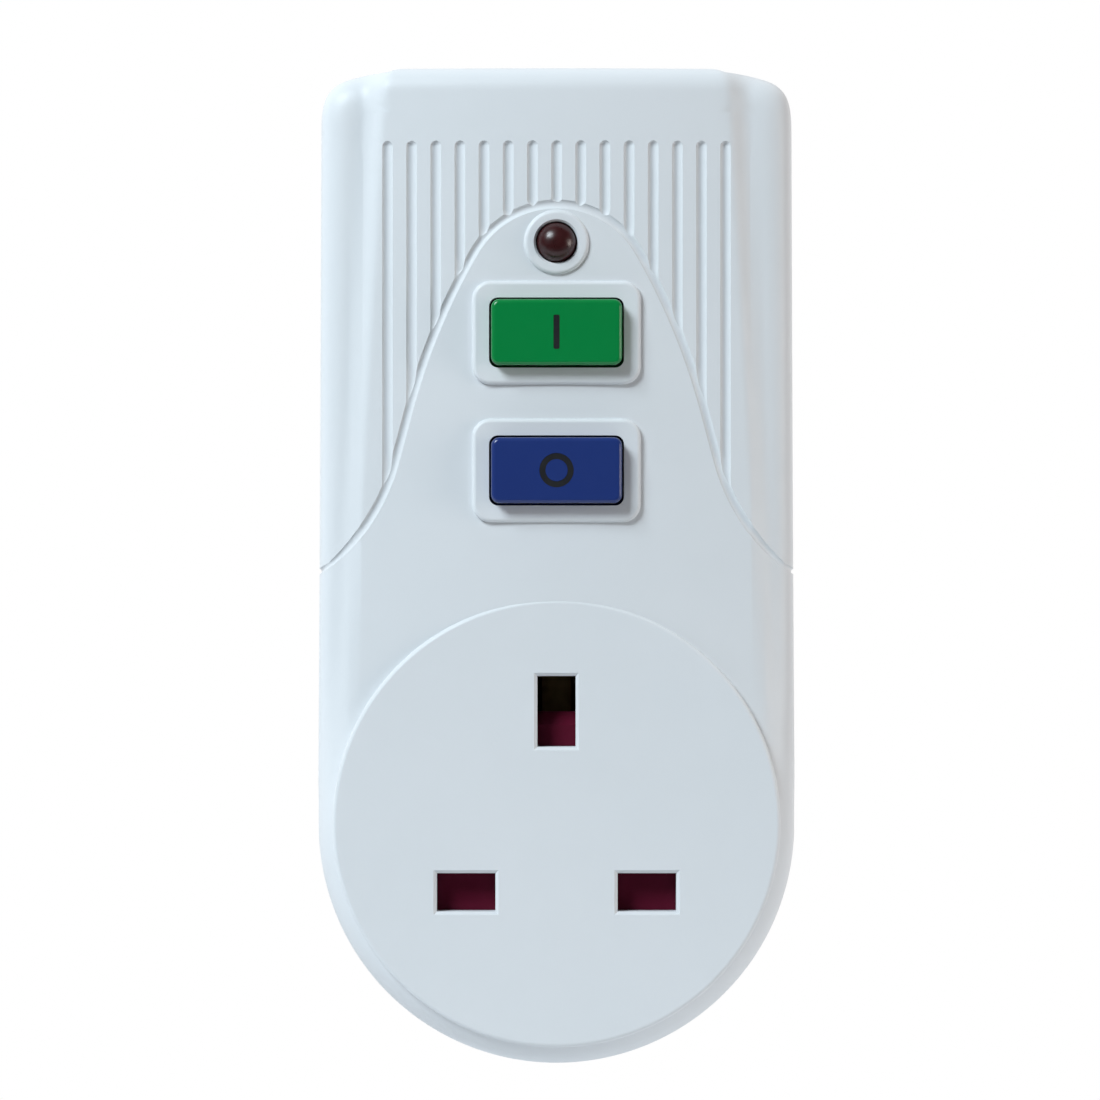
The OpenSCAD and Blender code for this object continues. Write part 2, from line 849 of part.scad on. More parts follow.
// Flange that holds a pin in the base
module pin_flange(at, flange) {
  dbox([at[0] - flange[0], at[0] + flange[0]], [pad_d, flange_d], [at[1] - flange[1], at[1] + flange[1]]);
}

// Live or neutral pin on the right or the left
module pole_pin(s) {
  at = [s * pole_x, pole_z];
  pin_bar(at, pole_pin_w, pin_thick, -pole_pin_len, -sleeve_len);
  dbox([at[0] - neck_w / 2, at[0] + neck_w / 2], [-sleeve_len - past, line_d[0]],
    [at[1] - neck_thick / 2, at[1] + neck_thick / 2]);
  pin_flange(at, pole_flange);
}

module live_pin() {
  color("gold")
    pole_pin(1);
}

module neutral_pin() {
  color("gold")
    pole_pin(-1);
}

module earth_pin() {
  color("gold") {
    pin_bar([0, earth_z], pin_thick, earth_pin_w, -earth_pin_len, pad_d + past);
    pin_flange([0, earth_z], earth_flange);
    dbox([-neck_thick / 2, neck_thick / 2], [flange_d - past, contact_d],
      [earth_z - earth_neck_w / 2, earth_z + earth_neck_w / 2]);
  }
}

// Insulating sleeve, flush with the pin's metal tip
module pole_sleeve(s) {
  at = [s * pole_x, pole_z];
  difference() {
    dbox([at[0] - pole_pin_w / 2, at[0] + pole_pin_w / 2], [-sleeve_len, pad_d],
      [at[1] - pin_thick / 2, at[1] + pin_thick / 2]);
    dbox([at[0] - neck_w / 2, at[0] + neck_w / 2], [-sleeve_len - past, pad_d + past],
      [at[1] - neck_thick / 2, at[1] + neck_thick / 2]);
  }
}

module live_sleeve() {
  color("black")
    pole_sleeve(1);
}

module neutral_sleeve() {
  color("black")
    pole_sleeve(-1);
}

module pin_retainer() {
  color("ivory")
    difference() {
      dbox([-retainer_x, retainer_x], [flange_d, retainer_d], retainer_z);
      both_sides() {
        dbox([pole_x - neck_w / 2 - pin_gap, pole_x + neck_w / 2 + pin_gap],
          [flange_d - past, retainer_d + past],
          [pole_z - neck_thick / 2 - pin_gap, pole_z + neck_thick / 2 + pin_gap]);
        drod(small_screw_r + screw_gap, [flange_d - past, retainer_d + past], retainer_screw);
      }
      dbox([-neck_thick / 2 - pin_gap, neck_thick / 2 + pin_gap], [flange_d - past, retainer_d + past],
        [earth_z - earth_neck_w / 2 - pin_gap, earth_z + earth_neck_w / 2 + pin_gap]);
    }
}

module retainer_screws() {
  color("silver")
    both_sides()
      front_screw(retainer_screw, retainer_d, rear_wall + screw_end_gap, small_screw_r, small_head_r,
        small_head_h);
}

// Slots that let the contacts' tails through
module contact_slots(d) {
  tail = tail_half + leaf_gap;
  neck = neck_thick / 2 + leaf_gap;
  half = leaf / 2 + leaf_gap;
  earth_half = earth_neck_w / 2 + leaf_gap;
  both_sides()
    dbox([pole_x - tail, pole_x + tail], d, [pole_z - half, pole_z + half]);
  dbox([-neck, neck], d, [earth_z - earth_half, earth_z + earth_half]);
}

module insulating_barrier() {
  color("ivory")
    difference() {
      dbox([-barrier_x, barrier_x], barrier_d, barrier_z);
      contact_slots([barrier_d[0] - past, barrier_d[1] + past]);
    }
}

module contact_block() {
  color("ivory")
    difference() {
      union() {
        dbox([-block_x, block_x], [barrier_d[1], block_front], block_z);
        dbox([-block_ear[0], block_ear[0]], block_ear_d,
          [block_screw[1] - block_ear[1], block_screw[1] + block_ear[1]]);
      }
      both_sides() {
        dbox([pole_x - pole_pocket[0], pole_x + pole_pocket[0]], [contact_d, block_front + past],
          [pole_z - pole_pocket[1], pole_z + pole_pocket[1]]);
        drod(small_screw_r + screw_gap, [block_ear_d[0] - past, block_ear_d[1] + past], block_screw);
      }
      dbox([-earth_pocket[0], earth_pocket[0]], [contact_d, block_front + past],
        [earth_z - earth_pocket[1], earth_z + earth_pocket[1]]);
      contact_slots([barrier_d[0], contact_d + past]);
    }
}

module block_screws() {
  color("silver")
    both_sides()
      rear_screw(block_screw, block_ear_d[0], block_ear_d[1] + block_screw_grip, small_screw_r, small_head_r,
        small_head_h);
}

// Spring fork in depth and width: a base plate and two leaves that pinch a pin
module fork_profile() {
  tip_d = block_front - fork_end;
  pinch_d = tip_d - fork_mouth;
  floor_d = contact_d + leaf;
  lip_d = tip_d + fork_lip;
  half = fork_half;
  polygon([[-contact_d, -half], [-contact_d, half], [-floor_d, half], [-pinch_d, fork_pinch + leaf],
    [-tip_d, half], [-lip_d, half - leaf], [-pinch_d, fork_pinch], [-floor_d, half - leaf],
    [-floor_d, leaf - half], [-pinch_d, -fork_pinch], [-lip_d, leaf - half], [-tip_d, -half],
    [-pinch_d, -fork_pinch - leaf], [-floor_d, -half]]);
}

// Live or neutral socket contact
module pole_contact(s) {
  translate([s * pole_x - pole_fork_w / 2, 0, pole_z])
    rotate([90, 0, 90])
      linear_extrude(height = pole_fork_w)
        fork_profile();
  dbox([s * pole_x - tail_half, s * pole_x + tail_half], [load_d[1], contact_d + leaf / 2],
    [pole_z - leaf / 2, pole_z + leaf / 2]);
}

module live_contact() {
  color("goldenrod")
    pole_contact(1);
}

module neutral_contact() {
  color("goldenrod")
    pole_contact(-1);
}

module earth_contact() {
  color("goldenrod")
    translate([0, 0, earth_z - earth_fork_w / 2])
      rotate([0, 0, 90])
        linear_extrude(height = earth_fork_w)
          fork_profile();
}

module shutter() {
  thick = [shutter_back, shutter_front];
  neck = shutter_neck;
  window_z = pole_z + shutter_travel;
  ramp = 4 * (shutter_front - shutter_back);
  color("maroon")
    difference() {
      union() {
        dbox([-shutter_w / 2, shutter_w / 2], thick, [shutter_low, shutter_top]);
        dbox([-neck, neck], thick, [shutter_low, shutter_neck_top]);
      }
      both_sides()
        dbox([pole_x - shutter_window[0], pole_x + shutter_window[0]], thick + [-past, past],
          [window_z - shutter_window[1], window_z + shutter_window[1]]);
      translate([-neck - past, -shutter_front, shutter_neck_top - shutter_ramp])
        rotate([45, 0, 0])
          translate([0, -ramp, 0])
            cube([2 * neck + 2 * past, ramp, ramp]);
    }
}

module shutter_spring() {
  color("silver")
    translate([0, -(shutter_back + shutter_front) / 2, shutter_shelf])
      coil_spring(shutter_coil[0], shutter_coil[1], shutter_low - shutter_shelf, shutter_coil[2]);
}

// Line side bar from a plug pin, through the sensing ring, to the switch
module line_bar(s) {
  dprism(line_d)
    strip([[s * pole_x, pole_z], [s * pole_x, line_bend_z[0]], [s * ring_bar_x, line_bend_z[1]],
      [s * ring_bar_x, ring_z[1] + bar_w * 3 / 4], [s * pole_bar_x, line_bend_z[2]],
      [s * pole_bar_x, tip_z[0]]], bar_w, bar_w / 2);
}

module live_line_bar() {
  color("peru")
    line_bar(1);
}

module neutral_line_bar() {
  color("peru")
    line_bar(-1);
}

// Load side bar from the switch to a socket contact
module load_bar(s) {
  dprism(load_d)
    strip([[s * pole_bar_x, tip_z[1]], [s * load_bar_x, tip_z[1]], [s * load_bar_x, pole_z],
      [s * pole_x, pole_z]], bar_w, bar_w / 2);
}

module live_load_bar() {
  color("peru")
    load_bar(1);
}

module neutral_load_bar() {
  color("peru")
    load_bar(-1);
}

module fixed_tips() {
  color("silver")
    both_sides() {
      drod(fixed_tip_r, [line_d[1], core_front], [pole_bar_x, tip_z[0]]);
      drod(fixed_tip_r, [load_d[1], core_front], [pole_bar_x, tip_z[1]]);
    }
}

module sensing_ring_case() {
  skin = ring_skin;
  color("royalblue")
    translate([0, -ring_d, ring_z[0]])
      rotate_extrude()
        difference() {
          translate([ring_in_r, 0])
            square([ring_out_r - ring_in_r, ring_z[1] - ring_z[0]]);
          translate([ring_in_r + skin, skin])
            square([ring_out_r - ring_in_r - 2 * skin, ring_z[1] - ring_z[0]]);
        }
}

module sensing_ring_core() {
  skin = ring_skin;
  color("dimgray")
    translate([0, -ring_d, ring_z[0]])
      rotate_extrude()
        translate([ring_in_r + skin + screw_gap, skin])
          square([ring_out_r - ring_in_r - 2 * skin - 2 * screw_gap, ring_z[1] - ring_z[0] - 2 * skin]);
}

module circuit_board() {
  color("seagreen")
    difference() {
      dbox([-board_x, board_x], board_d, board_z);
      both_sides() {
        for (z = board_screw_z)
          drod(small_screw_r + screw_gap, [board_d[0] - past, board_d[1] + past], [board_screw_x, z]);
        drod(lead_hole_r, [board_d[0] - past, board_d[1] + past], [lead_x, lamp_z]);
      }
    }
}

module board_screws() {
  color("silver")
    both_sides()
      for (z = board_screw_z)
        front_screw([board_screw_x, z], board_d[1], rear_wall, small_screw_r, small_head_r, small_head_h);
}

// Pillar on the switch base that carries a bar's end
module tip_pillar(z, top_d) {
  dbox([pole_bar_x - pillar_half, pole_bar_x + pillar_half], [base_top - past, top_d],
    [z - pillar_half, z + pillar_half]);
}

module switch_base() {
  color("dimgray") {
    difference() {
      dbox([-base_x, base_x], [board_d[1], base_top], [reset_z - base_z, reset_z + base_z]);
      dbox([-base_hole[0], base_hole[0]], [board_d[1] - past, base_top + past],
        [reset_z - base_hole[1], reset_z + base_hole[1]]);
    }
    both_sides() {
      drod(post_r, [base_top - past, guide_d[0] - post_gap], [post_x, reset_z]);
      tip_pillar(tip_z[0], line_d[0]);
      tip_pillar(tip_z[1], load_d[0]);
    }
  }
}

module contact_carriage() {
  color("dimgray")
    difference() {
      dbox([-carriage_x, carriage_x], carriage_d, [reset_z - carriage_z, reset_z + carriage_z]);
      both_sides()
        drod(post_r + guide_gap, [carriage_d[0] - past, carriage_d[1] + past], [post_x, reset_z]);
    }
}

module carriage_springs() {
  color("silver")
    both_sides()
      depth_spring(carriage_coil, [base_top, carriage_d[0]], [post_x, reset_z]);
}

module moving_blades() {
  color("goldenrod")
    both_sides()
      dbox([pole_bar_x - blade_half[0], pole_bar_x + blade_half[0]], [carriage_d[0] - blade_h, carriage_d[0]],
        [tip_z[0] - blade_half[1], tip_z[1] + blade_half[1]]);
}

module moving_tips() {
  color("silver")
    both_sides()
      for (z = tip_z)
        drod(moving_tip_r, [armature_d[0], carriage_d[0] - blade_h], [pole_bar_x, z]);
}

module armature() {
  color("gray")
    dbox([-armature_half[0], armature_half[0]], armature_d,
      [reset_z - armature_half[1], reset_z + armature_half[1]]);
}

module coil_bobbin() {
  bore = core_r + bobbin_gap;
  color("ivory")
    translate([0, -yoke_d, reset_z])
      rotate([90, 0, 0])
        rotate_extrude()
          translate([bore, 0]) {
            square([bobbin_wall, bobbin_l]);
            for (at = [0, bobbin_l - bobbin_cheek])
              translate([0, at])
                square([bobbin_r - bore, bobbin_cheek]);
          }
}

module coil_winding() {
  tube_r = core_r + bobbin_gap + bobbin_wall;
  color("chocolate")
    translate([0, -yoke_d - bobbin_cheek, reset_z])
      rotate([90, 0, 0])
        rotate_extrude()
          translate([tube_r, 0])
            square([winding_r - tube_r, bobbin_l - 2 * bobbin_cheek]);
}

module magnet_yoke() {
  color("gray") {
    translate([0, 0, reset_z]) {
      dbox([-yoke_x, yoke_x], [board_d[1], yoke_d], [-yoke_leg[1], yoke_leg[1]]);
      dbox([-yoke_x, yoke_x], [board_d[1], core_front], yoke_leg);
      dbox([-yoke_x, yoke_x], [board_d[1], core_front], [-yoke_leg[1], -yoke_leg[0]]);
    }
    drod(core_r, [board_d[1], core_front], [0, reset_z]);
  }
}

module control_chip() {
  lead_w = 0.6;
  color("black") {
    dbox(chip_x, [board_d[1] + chip_rise, board_d[1] + chip_rise + chip_h], chip_z);
    for (i = [0 : 3], z = [chip_z[0] - lead_w, chip_z[1] - 0.2])
      translate([chip_x[0] + 0.8 + i * chip_lead_pitch, 0, z])
        dbox([0, lead_w], [board_d[1], board_d[1] + 2], [0, lead_w + 0.2]);
  }
}

module thyristor() {
  at = thyristor_at;
  foot_d = board_d[1] + thyristor_rise;
  color("black") {
    difference() {
      drod(thyristor_r, [foot_d, foot_d + thyristor_h], at);
      dbox([at[0] - thyristor_r - past, at[0] + thyristor_r + past],
        [foot_d - past, foot_d + thyristor_h + past],
        [at[1] + thyristor_flat, at[1] + thyristor_r + past]);
    }
    for (i = [-1 : 1])
      drod(lead_r, [board_d[1], foot_d + past], [at[0] + i * lead_x, at[1]]);
  }
}

module varistor() {
  centre_d = board_d[1] + varistor_rise + varistor_r;
  color("royalblue") {
    translate([varistor_x[0], -centre_d, varistor_z])
      rotate([0, 90, 0])
        cylinder(r = varistor_r, h = varistor_x[1] - varistor_x[0]);
    for (s = [-1, 1])
      drod(lead_r, [board_d[1], centre_d],
        [(varistor_x[0] + varistor_x[1]) / 2, varistor_z + s * 2 * lead_x]);
  }
}

module capacitor() {
  color("darkslateblue")
    drod(capacitor_r, [board_d[1], board_d[1] + capacitor_h], capacitor_at);
}

// Small axial part that lies along z, its leads bent down to the board
module axial_part(x, z, r, length) {
  axis_d = board_d[1] + r + axial_rise;
  reach = length / 2 + axial_bend;
  translate([x, -axis_d, z - length / 2])
    cylinder(r = r, h = length);
  translate([x, -axis_d, z - reach])
    cylinder(r = lead_r, h = 2 * reach);
  for (s = [-1, 1])
    drod(lead_r, [board_d[1], axis_d], [x, z + s * reach]);
}

module resistors() {
  color("tan")
    for (x = resistor_x)
      axial_part(x, resistor_z, resistor_r, resistor_l);
}

module diodes() {
  color("black")
    for (x = diode_x)
      axial_part(x, diode_z, diode_r, diode_l);
}

module lamp_lens() {
  color("darkred") {
    drod(lamp_r, [flange_back, case_depth], [0, lamp_z]);
    drod(lamp_r + lamp_flange, [flange_back, inner_d], [0, lamp_z]);
    translate([0, -case_depth, lamp_z])
      sphere(r = lamp_r);
  }
}

module lamp_leads() {
  color("silver")
    for (s = [-1, 1])
      drod(lead_r, [board_d[0] - lead_tail, flange_back], [s * lead_x, lamp_z]);
}

module guide_plate() {
  color("ivory")
    difference() {
      dbox([-guide_x, guide_x], guide_d, guide_z);
      for (z = [reset_z, test_z])
        drod(stem_r + guide_gap, [guide_d[0] - past, guide_d[1] + past], [0, z]);
      both_sides()
        drod(small_screw_r + screw_gap, [guide_d[0] - past, guide_d[1] + past], guide_screw);
    }
}

module guide_screws() {
  color("silver")
    both_sides()
      rear_screw(guide_screw, guide_d[0], guide_d[1] + guide_screw_grip, small_screw_r, small_head_r,
        small_head_h);
}

// Push button with a retaining flange and a stem
module push_button(z, stem_end) {
  half_w = button_w / 2 + flange_reach;
  half_h = button_h / 2 + flange_reach;
  dprism([flange_back, button_d])
    translate([0, z])
      round_rect(button_w, button_h, button_corner);
  dbox([-half_w, half_w], [flange_back, inner_d], [z - half_h, z + half_h]);
  drod(stem_r, [stem_end, flange_back + flange_h_back / 2], [0, z]);
}

module reset_button() {
  color("green")
    push_button(reset_z, carriage_d[1]);
}

module test_button() {
  color("navy")
    push_button(test_z, test_end_d + bridge_h);
}

module reset_spring() {
  color("silver")
    depth_spring(button_coil, [guide_d[1], flange_back], [0, reset_z]);
}

module test_spring() {
  color("silver")
    depth_spring(button_coil, [guide_d[1], flange_back], [0, test_z]);
}

module test_bridge() {
  color("goldenrod")
    dbox([-bridge_half, bridge_half], [test_end_d, test_end_d + bridge_h],
      [test_z + bridge_z[0], test_z + bridge_z[1]]);
}

module test_terminals() {
  color("goldenrod")
    both_sides()
      dbox(terminal_x, [board_d[1], test_end_d - test_travel - meet_gap],
        [test_z + terminal_z[0], test_z + terminal_z[1]]);
}

rear_base();
front_cover();
case_screws();
earth_pin();
live_pin();
neutral_pin();
live_sleeve();
neutral_sleeve();
pin_retainer();
retainer_screws();
insulating_barrier();
contact_block();
block_screws();
live_contact();
neutral_contact();
earth_contact();
shutter();
shutter_spring();
live_line_bar();
neutral_line_bar();
live_load_bar();
neutral_load_bar();
fixed_tips();
sensing_ring_case();
sensing_ring_core();
circuit_board();
board_screws();
switch_base();
contact_carriage();
carriage_springs();
moving_blades();
moving_tips();
armature();
coil_bobbin();
coil_winding();
magnet_yoke();
control_chip();
thyristor();
varistor();
capacitor();
resistors();
diodes();
lamp_lens();
lamp_leads();
guide_plate();
guide_screws();
reset_button();
reset_spring();
test_button();
test_spring();
test_bridge();
test_terminals();
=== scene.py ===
"""Dressed model of an RCD adapter plug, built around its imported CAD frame.

Seen from the front, X is right and Z is up, and the front faces -Y. The rear face that meets the wall is
y = 0, and depth counts from it towards the front. z = 0 is the axis of the round socket face. Sizes are in
millimetres and turn to metres where a mesh is made.
"""

import json
import logging
import math
from collections.abc import Callable, Iterator
from contextlib import contextmanager
from dataclasses import dataclass
from enum import Enum
from functools import cache
from typing import Any

import bmesh
import bpy
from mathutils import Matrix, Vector


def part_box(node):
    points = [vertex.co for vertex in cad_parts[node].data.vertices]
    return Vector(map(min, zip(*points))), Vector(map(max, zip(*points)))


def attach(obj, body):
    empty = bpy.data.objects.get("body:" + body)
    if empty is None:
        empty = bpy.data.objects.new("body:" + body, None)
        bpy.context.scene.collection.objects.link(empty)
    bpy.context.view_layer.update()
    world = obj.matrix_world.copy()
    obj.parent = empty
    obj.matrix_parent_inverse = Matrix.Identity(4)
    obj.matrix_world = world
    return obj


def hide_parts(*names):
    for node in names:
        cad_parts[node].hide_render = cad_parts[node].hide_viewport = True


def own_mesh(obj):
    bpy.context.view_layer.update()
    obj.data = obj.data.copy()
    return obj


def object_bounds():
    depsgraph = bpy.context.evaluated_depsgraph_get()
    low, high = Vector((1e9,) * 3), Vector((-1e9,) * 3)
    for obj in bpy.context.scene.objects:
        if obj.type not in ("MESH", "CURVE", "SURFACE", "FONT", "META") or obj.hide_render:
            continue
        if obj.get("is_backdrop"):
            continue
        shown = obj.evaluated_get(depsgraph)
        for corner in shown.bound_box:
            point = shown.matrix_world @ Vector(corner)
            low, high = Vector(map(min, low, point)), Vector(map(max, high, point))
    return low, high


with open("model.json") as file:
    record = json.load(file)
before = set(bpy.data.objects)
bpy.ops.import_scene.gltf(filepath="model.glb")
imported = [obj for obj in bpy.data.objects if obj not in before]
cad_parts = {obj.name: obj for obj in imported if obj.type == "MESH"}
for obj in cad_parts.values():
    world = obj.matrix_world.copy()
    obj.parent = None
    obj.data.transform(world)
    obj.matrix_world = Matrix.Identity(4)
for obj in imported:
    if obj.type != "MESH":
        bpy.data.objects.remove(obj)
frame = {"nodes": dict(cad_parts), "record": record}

LOG = logging.getLogger("adapter_plug")
MM = 0.001
SQUARE = math.pi / 2
# Corners closer than WELD are merged, those within TOUCH of a place lie at it, and cutters run PAST a face
WELD = 0.002
TOUCH = 0.02
PAST = 1.0
# Degrees within which neighbouring triangles of a CAD node are one flat face
FLAT_ANGLE = 0.4
# Places that pieces share: socket face, buttons, lamp, poles, and the flanges behind the cover
SOCKET_DEPTH = 43.0
RESET_Z = 60.2
TEST_Z = 43.3
LAMP_Z = 71.3
POLE_X = 11.1
FLANGE_DEPTH = (39.2, 40.2)

Span = tuple[float, float]
Triple = tuple[float, float, float]
Test = Callable[[Vector], bool]
Piece = bpy.types.Object


class Element(Enum):
    """Kinds of mesh element that can be picked in edit mode."""

    EDGES = "EDGE"
    FACES = "FACE"


class Join(Enum):
    """Ways in which one solid works on another."""

    ADD = "UNION"
    CUT = "DIFFERENCE"
    KEEP = "INTERSECT"


class Mark(Enum):
    """Plain signs on the push buttons."""

    BAR = "bar"
    RING = "ring"


def place(x: float, depth: float, z: float) -> Vector:
    """Point in metres from millimetres right, towards the front and up."""
    return Vector((x, -depth, z)) * MM


def sizes_of(point: Vector) -> Vector:
    """Millimetres right, towards the front and up of a point in metres."""
    return Vector((point.x, -point.y, point.z)) / MM


def only(piece: Piece) -> None:
    """Select one piece alone and make it the active one."""
    bpy.ops.object.select_all(action="DESELECT")
    piece.select_set(True)
    bpy.context.view_layer.objects.active = piece


def linked(name: str, data: Any) -> Piece:
    """New object around a mesh, a light or a camera, in the scene.

    Args:
        name: Name of the object.
        data: What the object holds.

    Returns:
        The object, at the origin.
    """
    piece = bpy.data.objects.new(name, data)
    bpy.context.scene.collection.objects.link(piece)
    return piece


def taken_up(name: str) -> Piece:
    """Name the primitive that was just added, and move its place into its mesh.

    Args:
        name: New name of the piece and its mesh.

    Returns:
        The piece, at the origin, unturned and unscaled.
    """
    piece = bpy.context.object
    only(piece)
    bpy.ops.object.transform_apply(location=True, rotation=True, scale=True)
    piece.name = name
    piece.data.name = name
    return piece


def joined(pieces: list[Piece]) -> Piece:
    """Move the places of pieces into their meshes, and join them into the first.

    Args:
        pieces: Pieces to join.

    Returns:
        The first piece.
    """
    bpy.ops.object.select_all(action="DESELECT")
    for piece in pieces:
        piece.select_set(True)
    bpy.context.view_layer.objects.active = pieces[0]
    bpy.ops.object.transform_apply(location=True, rotation=True, scale=True)
    if len(pieces) > 1:
        bpy.ops.object.join()
    return pieces[0]


def modify(piece: Piece, kind: str, **settings: Any) -> None:
    """Apply a modifier to a piece.

    Args:
        piece: Piece in object mode.
        kind: Blender's name for the modifier.
        settings: Values by the modifier's own property.
    """
    change = piece.modifiers.new(kind.lower(), kind)
    for key, value in settings.items():
        setattr(change, key, value)
    only(piece)
    bpy.ops.object.modifier_apply(modifier=change.name)


@contextmanager
def shaping(piece: Piece) -> Iterator[None]:
    """Hold one piece in edit mode with all of it selected.

    Args:
        piece: Piece to shape.

    Returns:
        Context in which the edit operators work on the piece.
    """
    only(piece)
    bpy.ops.object.mode_set(mode="EDIT")
    bpy.ops.mesh.select_all(action="SELECT")
    yield
    bpy.ops.object.mode_set(mode="OBJECT")


def pick(piece: Piece, kind: Element, test: Test) -> None:
    """Select in edit mode the elements whose every corner passes a test.

    Args:
        piece: Piece in edit mode.
        kind: Edges or faces.
        test: Takes a corner's millimetres right, towards the front and up.
    """
    bpy.ops.mesh.select_mode(type=kind.value)
    bpy.ops.mesh.select_all(action="DESELECT")
    mesh = bmesh.from_edit_mesh(piece.data)
    for element in mesh.edges if kind is Element.EDGES else mesh.faces:
        if all(test(sizes_of(v.co)) for v in element.verts):
            element.select_set(True)
    bmesh.update_edit_mesh(piece.data)


def face_outwards() -> None:
    """Turn every face of the piece in edit mode outwards."""
    bpy.ops.mesh.select_all(action="SELECT")
    bpy.ops.mesh.normals_make_consistent(inside=False)


def soften(piece: Piece, radius: float, test: Test, segments: int = 4) -> Piece:
    """Round the edges that pass a test.

    Args:
        piece: Piece in object mode.
        radius: Radius of the rounding.
        test: Takes a corner's millimetres right, towards the front and up.
        segments: Flats in the rounding.

    Returns:
        The same piece.
    """
    with shaping(piece):
        pick(piece, Element.EDGES, test)
        bpy.ops.mesh.bevel(offset=radius * MM, segments=segments, affect="EDGES", clamp_overlap=False)
    return piece


def at_depth(depth: float) -> Test:
    """Test for corners that lie at a depth."""
    return lambda corner: abs(corner.y - depth) < TOUCH


def carry(reach: float) -> None:
    """Extrude what is selected in edit mode towards the front, or towards the rear below zero."""
    bpy.ops.mesh.extrude_region_move(TRANSFORM_OT_translate={"value": (0, -reach * MM, 0)})


def draw_out(reach: float, across: float, up: float, centre: Vector) -> None:
    """Extrude what is selected in edit mode towards the front, and scale its end.

    Args:
        reach: Millimetres towards the front.
        across: Scale of the end's width.
        up: Scale of the end's height.
        centre: Point in metres that the end is scaled about.
    """
    carry(reach)
    bpy.ops.transform.resize(value=(across, 1, up), center_override=centre)


def flare(piece: Piece, mouth: float, reach: float, width: float, height: float, x: float, z: float) -> None:
    """Widen the front of a cutter at 45 degrees, for a chamfered mouth.

    Args:
        piece: Cutter whose front face lies at the mouth.
        mouth: Depth at which the chamfer starts.
        reach: Distance by which it runs to the front, and widens on each side.
        width: Width of the cutter.
        height: Height of the cutter.
        x: Place of its middle to the right.
        z: Place of its middle upwards.
    """
    with shaping(piece):
        pick(piece, Element.FACES, at_depth(mouth))
        draw_out(reach, 1 + 2 * reach / width, 1 + 2 * reach / height, place(x, mouth, z))
        face_outwards()


def block(name: str, x: Span, depth: Span, z: Span) -> Piece:
    """Box between limits to the right, in depth and up.

    Args:
        name: Name of the piece.
        x: Left and right limits.
        depth: Rear and front limits.
        z: Lower and upper limits.

    Returns:
        The box.
    """
    low = place(x[0], depth[1], z[0])
    high = place(x[1], depth[0], z[1])
    bpy.ops.mesh.primitive_cube_add(size=1, location=(low + high) / 2, scale=high - low)
    return taken_up(name)


def rod(name: str, radius: float, depth: Span, z: float, sides: int = 64) -> Piece:
    """Round bar along the depth, on the centre line.

    Args:
        name: Name of the piece.
        radius: Radius of the bar.
        depth: Rear and front ends.
        z: Place of its axis upwards.
        sides: Number of sides.

    Returns:
        The bar.
    """
    bpy.ops.mesh.primitive_cylinder_add(
        vertices=sides,
        radius=radius * MM,
        depth=(depth[1] - depth[0]) * MM,
        location=place(0, (depth[0] + depth[1]) / 2, z),
        rotation=(SQUARE, 0, 0),
    )
    return taken_up(name)


def round_plate(name: str, width: float, height: float, corner: float, depth: Span, z: float) -> Piece:
    """Plate with round corners that faces the front, on the centre line.

    Args:
        name: Name of the piece.
        width: Width of the plate.
        height: Height of the plate.
        corner: Radius of its corners.
        depth: Rear and front faces.
        z: Place of its middle upwards.

    Returns:
        The plate.
    """
    bpy.ops.mesh.primitive_plane_add(size=1, location=place(0, depth[1], z), rotation=(SQUARE, 0, 0))
    bpy.context.object.scale = (width * MM, height * MM, 1)
    piece = taken_up(name)
    with shaping(piece):
        bpy.ops.mesh.bevel(offset=corner * MM, segments=8, affect="VERTICES")
        bpy.ops.mesh.select_all(action="SELECT")
        carry(depth[0] - depth[1])
        face_outwards()
    return piece


def work(piece: Piece, tool: Piece, how: Join) -> None:
    """Add a solid to a piece or cut it out of it, and remove the solid.

    Args:
        piece: Piece that is changed.
        tool: Solid that works on it.
        how: Whether it is added, cut out, or all that is kept.
    """
    modify(piece, "BOOLEAN", operation=how.value, solver="MANIFOLD", object=tool)
    bpy.data.objects.remove(tool, do_unlink=True)


def welded_copy(node: str, name: str) -> Piece:
    """Copy of a CAD node with its loose triangles merged into whole faces.

    Args:
        node: Name of the CAD node.
        name: Name of the new piece.

    Returns:
        The copy, with no material.
    """
    mesh = frame["nodes"][node].data.copy()
    mesh.name = name
    mesh.materials.clear()
    piece = linked(name, mesh)
    only(piece)
    bpy.ops.mesh.customdata_custom_splitnormals_clear()
    with shaping(piece):
        bpy.ops.mesh.remove_doubles(threshold=WELD * MM)
        bpy.ops.mesh.dissolve_limited(angle_limit=math.radians(FLAT_ANGLE))
    return piece


def settle(piece: Piece, angle: float) -> None:
    """Shade a finished piece: round faces run smooth and flat ones stay flat.

    Args:
        piece: Piece whose mesh is final.
        angle: Sharpest edge, in degrees, that still runs smooth.
    """
    only(piece)
    bpy.ops.object.shade_smooth_by_angle(angle=math.radians(angle))
    modify(piece, "WEIGHTED_NORMAL", keep_sharp=True)


def linear(code: str) -> tuple[float, float, float, float]:
    """Linear colour of an sRGB hex value.

    Args:
        code: Six hex digits after a hash sign.

    Returns:
        Red, green, blue and an alpha of one.
    """
    shares = [int(code[i : i + 2], 16) / 255 for i in (1, 3, 5)]
    red, green, blue = (s / 12.92 if s <= 0.04045 else ((s + 0.055) / 1.055) ** 2.4 for s in shares)
    return red, green, blue, 1.0


